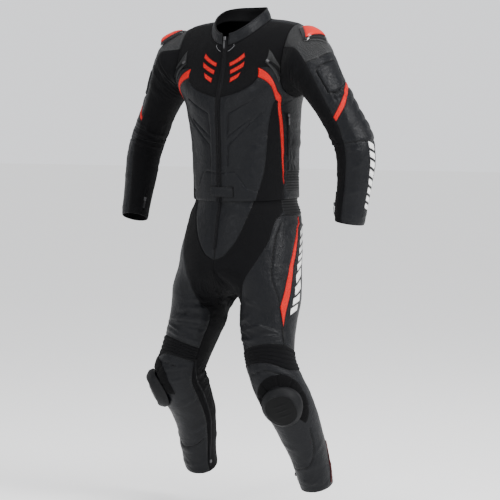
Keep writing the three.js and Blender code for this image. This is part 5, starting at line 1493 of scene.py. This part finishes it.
def rounded_body(middle, x, y, z, half, length, height, waist=0.0, square=3.2):
    """Squared ovals (half wide, height high) along y, closing to points at both ends; the waist draws
    the middle in. Used for zip sliders and other small rounded parts."""
    u = np.linspace(-1, 1, 21)[:, None]
    v = np.linspace(0, 2 * math.pi, 33)[None, :-1]
    end = np.maximum(1 - np.abs(u) ** 5, 0) ** 0.5
    wide = half * end * (1 - waist * (1 - u * u))
    points = (
        middle + (wide * rounded(np.cos(v), square))[..., None] * x + (length / 2 * u + 0 * v)[..., None] * y
        + (height / 2 * end * rounded(np.sin(v), square) + height / 2)[..., None] * z
    )
    last = points.shape[1]
    faces = tube_triangles(*points.shape[:2])
    spots = points.reshape(-1, 3)
    faces = np.where(faces < last, 0, faces)
    faces = np.where(faces >= len(spots) - last, len(spots) - 1, faces)
    return packed(spots, faces)[:2]


def outward(points, faces):
    """Turns a closed mesh outwards: its signed volume must be positive."""
    a, b, c = (points[faces[:, k]] - points.mean(0) for k in range(3))
    return (points, faces) if (a * np.cross(b, c)).sum() > 0 else (points, faces[:, ::-1])


def join(parts):
    start, points, faces = 0, [], []
    for p, f in parts:
        points.append(p)
        faces.append(f + start)
        start += len(p)
    return np.concatenate(points), np.concatenate(faces)


def chain(name, middles, out):
    """Teeth in two rows along a line of points, half a pitch apart."""
    run = run_of(middles)
    parts = []
    for row, sign in enumerate((-1, 1)):
        want = np.arange(1 + row * TOOTH_PITCH / 2, run[-1] - 1, TOOTH_PITCH)
        z = unit(taken(out, run, want))
        y = unit(taken(middles, run, want + 1) - taken(middles, run, want - 1))
        x = unit(np.cross(y, z))
        parts.append(blocks(taken(middles, run, want) + sign * x * TOOTH_ASIDE, x, y, z, **TOOTH))
    mesh_piece(name, *join(parts), ZIP_TEETH, slot="zip_metal")


def slider(name, point, out, down, foot):
    """Slider body with its waist, and the bridge over it that carries the tab."""
    z = unit(out)
    y = unit(down - (down * z).sum() * z)
    x = np.cross(y, z)
    parts = [
        rounded_body(point + z * foot, x, y, z, **SLIDER_BODY),
        rounded_body(point + z * (foot + BRIDGE_UP) - y, x, y, z, **BRIDGE),
    ]
    mesh_piece(name, *join(parts), ZIP_METAL, slot="zip_metal")


def along_form(form, places, count, lift=0.0):
    """Points and outward directions along places on the worn surface of a form, lift mm over it."""
    angle, ring = seam(form, places, 1).draw(count).T
    flat = form.at(angle, ring)
    out = form.normal(angle, ring)
    return flat + out * (form.lift(angle, ring, flat) + lift)[:, None], out


def zip_strip(name, form, places, half, sewn_on, base=0.3):
    """The strip of a zip on a panel, half mm wide to each side, and the chain along its middle."""
    run = seam(form, places, 6).draw(6 * 12)
    angle, ring = run.T
    reach = np.linalg.norm(form.at(angle + 1, ring) - form.at(angle, ring), axis=-1)
    k = np.linspace(-1, 1, 7)
    grid = np.stack([run[:, :1] + k * half / reach[:, None], np.repeat(run[:, 1:], 7, 1)], -1)
    cloth(name, form, [(grid, "lr")], TAPE, base=base, dip=0.5)
    chain(f"{name}_teeth", *along_form(form, places, 60, base + TAPE_WALL - 0.2))


collar_zip_top = 1.5
front_line = [(0, NECK), (0, 9), (0, 7), (0, YOKE), (0, 3), (0, 1.5), (0, 0)]
zip_whole = Seam(lambda count: line_up([zip_up, zip_low], count // 15), 15)
neck_strip = seam(collar, [(neck_open, collar_zip_top), (neck_open, 0)], 1)
front_grids = [
    patch(torso, [seam(torso, [(-neck_open, NECK), (neck_open, NECK)], 3)],
          [seam(torso, [(-zip_edge(0)[0], 0), (zip_edge(0)[0], 0)], 3)],
          [zip_whole.opposite()], [zip_whole], cell=3.0, sewn="lr"),
    patch(collar, [seam(collar, [(-neck_open, collar_zip_top), (neck_open, collar_zip_top)], 3)],
          [seam(collar, [(-neck_open, 0), (neck_open, 0)], 3)],
          [neck_strip.opposite()], [neck_strip], cell=3.0, sewn="lr"),
]
cloth("front_zip", [torso, collar], front_grids, (ZIP_TAPE, "zip_tape", 2.0), dip=0.6)
low_middles, low_out = along_form(torso, front_line, 150, 0.2)
top_middles, top_out = along_form(collar, [(0, collar_zip_top), (0, 0)], 12, 0.2)
middles = np.concatenate([top_middles[:-1], low_middles])
chain("front_zip_teeth", middles, np.concatenate([top_out[:-1], low_out]))
point = collar.at(np.array(0.0), np.array(1.15))
down = collar.at(np.array(0.0), np.array(0.4)) - point
slider("front_zip_slider", point, collar.normal(0.0, 1.15), down, 0.6)

POCKET = [(80.5, 3.42), (82.5, 2.6), (83, 1.72)]
CUFF_ZIP = [(160, 7.55), (160, 8.8)]
VENT_ZIP = [(37.5, 7.0), (44, 6.32), (53.2, 5.4)]
VENT_FLAP = [
    [(35, 6.95), (43.5, 7.95)], [(53, 5.0), (55, 5.45)], [(35, 6.95), (42, 6.05), (53, 5.0)],
    [(43.5, 7.95), (45, 6.9), (50, 6.1), (55, 5.45)],
]
VENT_WALL = 1.4
CALF_ZIP = [(295, 8.85), (279, 10.25), (277, 11.90), (291, 14.70)]


def on_side(sign, places):
    return [(sign * angle, ring) for angle, ring in places]


for side, sign in (("L", 1), ("R", -1)):
    arm, leg = ARM_FORMS[side], LEG_FORMS[side]
    flap = patch(torso, *([seam(torso, on_side(sign, edge), 3)] for edge in VENT_FLAP), cell=2.2)
    # Each zip: its form and line, half its width, the panel it is sewn on and its height over the form,
    # then how finely its line is cut, where on it the slider sits and points to, and the slider's height
    zips = {
        "pocket": (torso, on_side(sign, POCKET), 5.0, f"jacket_side_{side}", 0.3, 24, 1, 3, 2.0),
        "cuff": (arm, CUFF_ZIP, 4.5, f"forearm_under_{side}", 0.3, 24, 12, 14, 2.0),
        "vent": (torso, on_side(sign, VENT_ZIP), 3.6, f"vent_flap_{side}_cloth", 0.3 + VENT_WALL,
                 24, 1, 3, 2.6),
        "calf": (leg, CALF_ZIP, 5.0, f"calf_{side}", 0.35, 40, 38, 36, 1.8),
    }
    for kind, (form, line, half, sewn_on, base, steps, here, there, foot) in zips.items():
        if kind == "vent":
            cloth(f"vent_flap_{side}", torso, [flap], (PRESSED_LEATHER_PAINTED_LIT, "black_leather", VENT_WALL), base=0.3,
                  dip=0.7)
        zip_strip(f"{kind}_zip_{side}", form, line, half, sewn_on, base)
        points, out = along_form(form, line, steps)
        slider(f"{kind}_zip_slider_{side}", points[here], out[here], points[there] - points[here], foot)

FLY_LIFT = 1.4
FLY_CHAIN = 2.6
FLY_RINGS = [(-45, 0.95), (-45, 1.5), (-45, 2.1), (-45, 2.7), (-45, 3.3), (-45, 3.8)]
fly_run = seam(LEG_FORMS["L"], FLY_RINGS, 6).draw(72)
fly_out = unit(LEG_FORMS["L"].normal(fly_run[:, 0] + 1, fly_run[:, 1]) * [0, 1, 1])


class FlyForm(Form):
    """The flat strip over both fly pieces: here the angle is mm from the middle."""

    def __init__(self):
        self.limit = lambda points: points

    def at(self, reach, ring):
        middle = LEG_FORMS["L"].at(0 * reach - 45, ring)
        return np.stack([reach + 0 * ring, middle[..., 1], middle[..., 2]], -1)

    def normal(self, reach, ring):
        return unit(LEG_FORMS["L"].normal(0 * reach - 44, ring) * [0, 1, 1])

    def lift(self, reach, ring, points):
        return np.full(ring.shape, FLY_LIFT)


fly_form = FlyForm()
reach = np.linspace(-4.5, 4.5, 7)
fly_grid = np.stack(np.broadcast_arrays(reach[None], fly_run[:, 1:]), -1)
cloth("fly_zip", fly_form, [(fly_grid, "lr")], TAPE, base=0.3, dip=0.4)
chain("fly_zip_teeth", fly_form.at(0 * fly_run[:, 0], fly_run[:, 1]) + fly_out * FLY_CHAIN, fly_out)

for name in ("front_zip_tab", "pocket_zip_tab_L", "pocket_zip_tab_R", "cuff_zip_tab_L", "cuff_zip_tab_R"):
    for spot in bpy.data.objects[name].material_slots:
        spot.material = ZIP_METAL


# Hard parts. Each is a plate over an outline (a radius at each turn) with heights for its top and its
# back in the tangent plane of its place, as moulded plastic is: cups and red plates on the shoulders,
# and an egg-shaped slider on each knee.
class Plate:
    """A place on a form with its tangent plane: x to the side, y up the form, z out, in mm."""

    def __init__(self, form, angle, ring):
        self.form, self.angle, self.ring = form, angle, ring
        one, step = np.array(float(angle)), np.array(float(ring))
        self.point = form.at(one, step)
        self.z = form.normal(one, step)
        self.across = (form.at(one + 1, step) - form.at(one - 1, step)) / 2
        self.along = (form.at(one, step + 0.02) - form.at(one, step - 0.02)) / 0.04
        self.y = -unit(self.along - (self.along @ self.z) * self.z)
        self.x = np.cross(self.y, self.z)

    def height(self, a, b):
        """Height of the form over the tangent plane at a and b, by twelve damped Newton steps."""
        u, v = 0 * a + self.angle, 0 * a + self.ring
        ax, bx, ay, by = (step @ axis for step in (self.across, self.along) for axis in (self.x, self.y))
        det = ax * by - bx * ay
        for _ in range(12):
            p = self.form.at(u, v) - self.point
            da, db = a - p @ self.x, b - p @ self.y
            u = u + 0.7 * (da * by - db * ay) / det
            v = v + 0.7 * (db * ax - da * bx) / det
        return (self.form.at(u, v) - self.point) @ self.z

    def piece(self, name, outline, top, back, material, slot, shares, sectors=96, kept=None):
        """A closed plate: rings at shares of the outline, with the top's and the back's heights."""
        radius = outline(np.linspace(0, 2 * math.pi, sectors, endpoint=False))
        share = np.array(shares)[:, None]
        a, b = share * radius[0], share * radius[1]
        s = share + 0 * a
        layers = [
            self.point + a[..., None] * self.x + b[..., None] * self.y + heights[..., None] * self.z
            for heights in (top(a, b, s), back(a, b))
        ]
        count = s.size
        cells = tube_triangles(len(shares), sectors)[:, ::-1]
        rim = count - sectors + np.arange(sectors)
        beside = np.roll(rim, -1)
        faces = np.concatenate([
            cells, cells[:, ::-1] + count,
            np.stack([rim, rim + count, beside + count], 1), np.stack([rim, beside + count, beside], 1),
        ])
        # The first ring is the pole: all its points are the same
        faces = np.where(faces < sectors, 0, faces)
        faces = np.where((faces >= count) & (faces < count + sectors), count, faces)
        spots, faces, used = packed(np.concatenate([layer.reshape(-1, 3) for layer in layers]), faces)
        marks = {"share": np.tile(s.ravel(), 2)[used]}
        for key, rule in (kept or {}).items():
            marks[key] = np.tile(rule(a, b).ravel(), 2)[used]
        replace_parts(mesh_piece(f"{name}_moulded", spots, faces, material, marks, slot=slot, sharp=38), name)


CUP = {"rise": 11, "edge": 3, "angle": 8, "ring": 0.98}
# Corners of the cup and of its red plate: mm to the back and up the shoulder
CUP_CORNERS = [(-54, -8), (2, 52), (30, 44), (48, -10), (38, -34)]
RED_CORNERS = [(-45, -5), (6, 47), (26, 36), (38, -8), (30, -20)]
RED_PLATE = {"thick": 2.2, "gap": 0.9}
CUP_SHARES = [0, 0.2, 0.4, 0.55, 0.66, 0.70, 0.73, 0.76, 0.78, 0.80, 0.82, 0.85, 0.89, 0.93, 0.96, 0.985, 1]
RED_SHARES = [0, 0.3, 0.6, 0.8, 0.88, 0.93, 0.96, 0.98, 0.995, 1]


def rounded_reach(corners, soft):
    """How far a closed outline of straight sides lies from the middle, at 720 turns: the nearest side
    that a ray meets, averaged over soft degrees, which rounds the corners."""
    turn = np.radians(np.arange(720) / 2)
    ray = np.stack([np.cos(turn), np.sin(turn)], -1)
    ends = np.array(corners, float)
    reach = np.full(720, 1e3)
    for a, b in zip(ends, np.roll(ends, -1, 0)):
        side = b - a
        out = np.array([side[1], -side[0]])
        out = out if out @ a > 0 else -out
        facing = ray @ out
        reach = np.where(facing > 1e-6, np.minimum(reach, (a @ out) / np.maximum(facing, 1e-6)), reach)
    window = np.hanning(4 * soft + 1)
    wrapped = np.concatenate([reach[-2 * soft:], reach, reach[:2 * soft]])
    return np.convolve(wrapped, window / window.sum(), "valid")


CUP_REACH, RED_REACH = rounded_reach(CUP_CORNERS, 14), rounded_reach(RED_CORNERS, 8)


def reach_at(table, turn):
    return np.interp(turn % (2 * math.pi), np.radians(np.arange(721) / 2), np.append(table, table[0]))


def corner_outline(table, hand):
    return lambda turn: reach_at(table, turn) * np.stack([hand * np.cos(turn), np.sin(turn)])


gloss = Finish("cup_plastic", {"Specular IOR Level": 0.5})
haze = gloss.noise(0.02, detail=4, rough=0.6)
scuff = gloss.noise(0.004, detail=3, stretch=(1, 1, 6))
CUP_PLASTIC = gloss.set(
    colour=gloss.blend(haze, (0.002, 0.002, 0.0022, 1), (0.005, 0.005, 0.006, 1)),
    roughness=0.09 + haze * 0.08 + (scuff - 0.6).clear() * 0.5, height=haze * 0.15,
)
satin = Finish("red_plastic", {"Specular IOR Level": 0.28})
haze = satin.noise(0.015, detail=4, rough=0.6)
# Painted shade: from 0.92 of the way out, the plate's rounded edge is darkened to a deeper red.
rim = (satin.kept("share") * 12 - 11).clear()
RED_PLASTIC = satin.set(
    colour=satin.blend(
        rim, satin.blend(haze, (0.52, 0.007, 0.0035, 1), (0.60, 0.010, 0.005, 1)), (0.36, 0.005, 0.003, 1),
    ),
    roughness=0.25 + haze * 0.14, height=satin.noise(0.0012, detail=2) * 0.05,
)

for side, hand in (("L", 1), ("R", -1)):
    plate = Plate(ARM_FORMS[side], CUP["angle"], CUP["ring"])

    def cup_seat(x, y):
        return plate.height(x, y) + 1.1

    def dome(x, y, share):
        """The dome falls by the power 2.6 of the share."""
        return cup_seat(x, y) + CUP["edge"] + CUP["rise"] * (1 - share ** 2.6)

    def cup_top(x, y, share):
        """The dome, with a ridge all round just inside the edge and a groove along the ridge."""
        return dome(x, y, share) + (1.1 * bump((share - 0.80) / 0.045) - 0.6 * bump((share - 0.73) / 0.04))

    def red_seat(x, y):
        share = np.minimum(np.hypot(x, y) / reach_at(CUP_REACH, np.arctan2(y, hand * x)), 1)
        return dome(x, y, share) + RED_PLATE["gap"]

    def red_top(x, y, share):
        """A plate that keeps its thickness up to a rounded edge."""
        return red_seat(x, y) + RED_PLATE["thick"] * (0.35 + 0.65 * np.sqrt(np.maximum(1 - share ** 8, 0)))

    plate.piece(f"shoulder_cup_{side}", corner_outline(CUP_REACH, hand), cup_top, cup_seat, CUP_PLASTIC,
                "cup_plastic", CUP_SHARES)
    plate.piece(f"shoulder_plate_{side}", corner_outline(RED_REACH, hand), red_top, red_seat, RED_PLASTIC,
                "red_plastic", RED_SHARES)


# Knee sliders: satin plastic with a lighter worn rim and a darker recessed middle with ridges; they
# sit on pads of fuzzy fabric that are sewn on in segments.
SLIDER = {"half": 56, "height": 58, "thick": 24, "edge": 11, "from": 0.72, "across": 115, "along": 260}
SLIDER_PLACE = {"L": (27, 10.75), "R": (44, 10.5)}
wear_and_shade = Finish("slider_plastic", {"Specular IOR Level": 0.11})
share = wear_and_shade.kept("share")
middle = wear_and_shade.kept("middle")
scuffs = wear_and_shade.noise(0.009, detail=5, rough=0.7, stretch=(1, 1, 0.5))
fine = wear_and_shade.noise(0.0014, detail=3, rough=0.7)
SLIDER_PLASTIC = wear_and_shade.set(
    colour=wear_and_shade.blend(
        middle,
        wear_and_shade.blend((scuffs * 1.5 - 0.35).clear(), (0.0046, 0.0048, 0.0053, 1), (0.0098, 0.0100, 0.0110, 1)),
        (0.0018, 0.0019, 0.0021, 1),
    ),
    roughness=0.42 + scuffs * 0.25 - middle * 0.05, height=fine * 0.12 + scuffs * 0.25,
)
fuzzy = Finish("loop_pad", {"Specular IOR Level": 0.05, "Sheen Weight": 0.02, "Sheen Roughness": 0.6})
loops = fuzzy.noise(0.0011, detail=3, rough=0.8)
clumps = fuzzy.noise(0.006, detail=3)
LOOP_PAD = fuzzy.set(
    colour=fuzzy.blend(loops, (0.0008, 0.0008, 0.0009, 1), (0.0045, 0.0045, 0.005, 1)),
    roughness=0.95, height=loops * 0.9 + clumps * 0.7,
)
PAD = {"angle": 62, "ring": 1.12, "from": -58, "to": 178, "inner": 0.66, "wall": 2.2}
SLIDER_SHARES = np.concatenate([np.linspace(0, 0.74, 30), np.linspace(0.76, 1, 14)])


def in_middle(a, b):
    """The recessed middle: an inner egg, a little below the centre."""
    x, y = (a + 3) / (SLIDER["half"] * 0.74), (b + 1) / (SLIDER["height"] * 0.76)
    return 1 - fade((np.abs(x) ** 2.5 + np.abs(y) ** 2.5) ** 0.4, 0.94, 1.0)


def pad_relief(at):
    """Seven segments side by side round the slider, with grooves between them."""
    return 2.2 * fade(np.abs(np.sin(at.s * math.pi * 7)), 0, 0.4) - 0.9


for side, (angle, ring) in SLIDER_PLACE.items():
    leg = LEG_FORMS[side]
    round_slider = np.radians(np.linspace(PAD["to"], PAD["from"], 150))[None]
    reach = np.linspace(1, PAD["inner"], 22)[:, None]
    pad = np.stack([
        angle + PAD["angle"] * reach * np.cos(round_slider),
        ring - PAD["ring"] * reach * np.sin(round_slider),
    ], -1)
    cloth(f"knee_pad_{side}", leg, [(pad, "tlr")], (LOOP_PAD, "stretch_fabric", PAD["wall"]), pad_relief,
          base=0.3, dip=1.2)
    plate = Plate(leg, angle, ring)

    def hollow(x, y):
        return -x * x / (2 * SLIDER["across"]) - y * y / (2 * SLIDER["along"])

    def slider_back(x, y):
        return np.maximum(hollow(x, y), plate.height(x, y)) + 0.9

    def slider_top(x, y, share):
        """A flat dome that falls to the edge, less the recess of its middle with three ridges in it."""
        fall = (np.maximum(0, share - SLIDER["from"]) / (1 - SLIDER["from"])) ** 1.6
        ridges = 1.3 * (bump((y - 14) / 4) + bump((y + 2) / 4) + bump((y + 18) / 4)) * bump(x / 30)
        dome = hollow(x, y) * 0.8 + SLIDER["thick"] + (SLIDER["edge"] - SLIDER["thick"]) * fall
        return dome - in_middle(x, y) * (2.6 - ridges)

    def slider_outline(turn):
        """An egg: an oval whose width grows with its height."""
        wide = SLIDER["half"] * np.cos(turn) * (1 + 0.06 * np.sin(turn))
        return np.stack([wide, SLIDER["height"] * np.sin(turn)])

    plate.piece(f"knee_slider_{side}", slider_outline, slider_top, slider_back, SLIDER_PLASTIC,
                "slider_plastic", SLIDER_SHARES, sectors=120, kept={"middle": in_middle})


# Thin lines: grey reflective piping on the fronts under the collar, a binding in the seam at the collar's
# foot, and a thin red stripe down the outer side of each calf. Each is a round cord sewn into its seam.
def piping(name, form, places, radius, material, slot, count=90, lift=None):
    """A round cord of the radius in mm along places, tapered at its ends and closed by a fan at each."""
    middles, out = along_form(form, places, count, radius * 0.55 if lift is None else lift)
    sideways = unit(np.cross(unit(np.gradient(middles, axis=0)), out))
    turn = np.linspace(0, 2 * math.pi, 11)[:-1]
    wide = len(turn)
    taper = np.minimum(1, np.minimum(np.arange(count + 1), np.arange(count + 1)[::-1]) / 1.5 + 0.12)
    ring = np.cos(turn)[None, :, None] * sideways[:, None] + np.sin(turn)[None, :, None] * out[:, None]
    points = middles[:, None] + ring * (radius * taper)[:, None, None]
    spots = np.concatenate([points.reshape(-1, 3), middles[:1], middles[-1:]])
    k, n = np.arange(wide), (np.arange(wide) + 1) % wide
    start, end = len(spots) - 2, len(spots) - 1
    faces = np.concatenate([
        tube_triangles(count + 1, wide), np.stack([0 * k + start, n, k], 1),
        np.stack([0 * k + end, count * wide + k, count * wide + n], 1),
    ])
    mesh_piece(name, *outward(spots, faces), material, slot=slot, sharp=70)


grey = Finish("reflective_piping", {"Specular IOR Level": 0.6})
beads = grey.noise(0.0009, detail=2)
PIPING = grey.set(
    colour=grey.blend(beads, (0.08, 0.08, 0.085, 1), (0.16, 0.16, 0.17, 1)),
    roughness=0.4 + beads * 0.2, height=beads * 0.12,
)
FRONT_LINE = [(5.2, 9.72), (9, 9.85), (17, 10.4), (18, 10.9)]
NECK_LINE = [(angle, NECK) for angle in (6, 50, 90, 135, 180.4)]
CALF_LINE = [(125, 13.1), (112, 13.8), (92, 14.85)]
BINDING = 3.2
for side, sign in (("L", 1), ("R", -1)):
    piping(f"front_piping_{side}", torso, on_side(sign, FRONT_LINE), 0.6, PIPING, "zip_tape", 60)
    piping(f"neck_binding_{side}", torso, on_side(sign, NECK_LINE), BINDING, STRETCH, "stretch_fabric",
           lift=-0.6 * BINDING)
    piping(f"calf_stripe_{side}", LEG_FORMS[side], CALF_LINE, 1.5, RED_LEATHER, "red_leather")
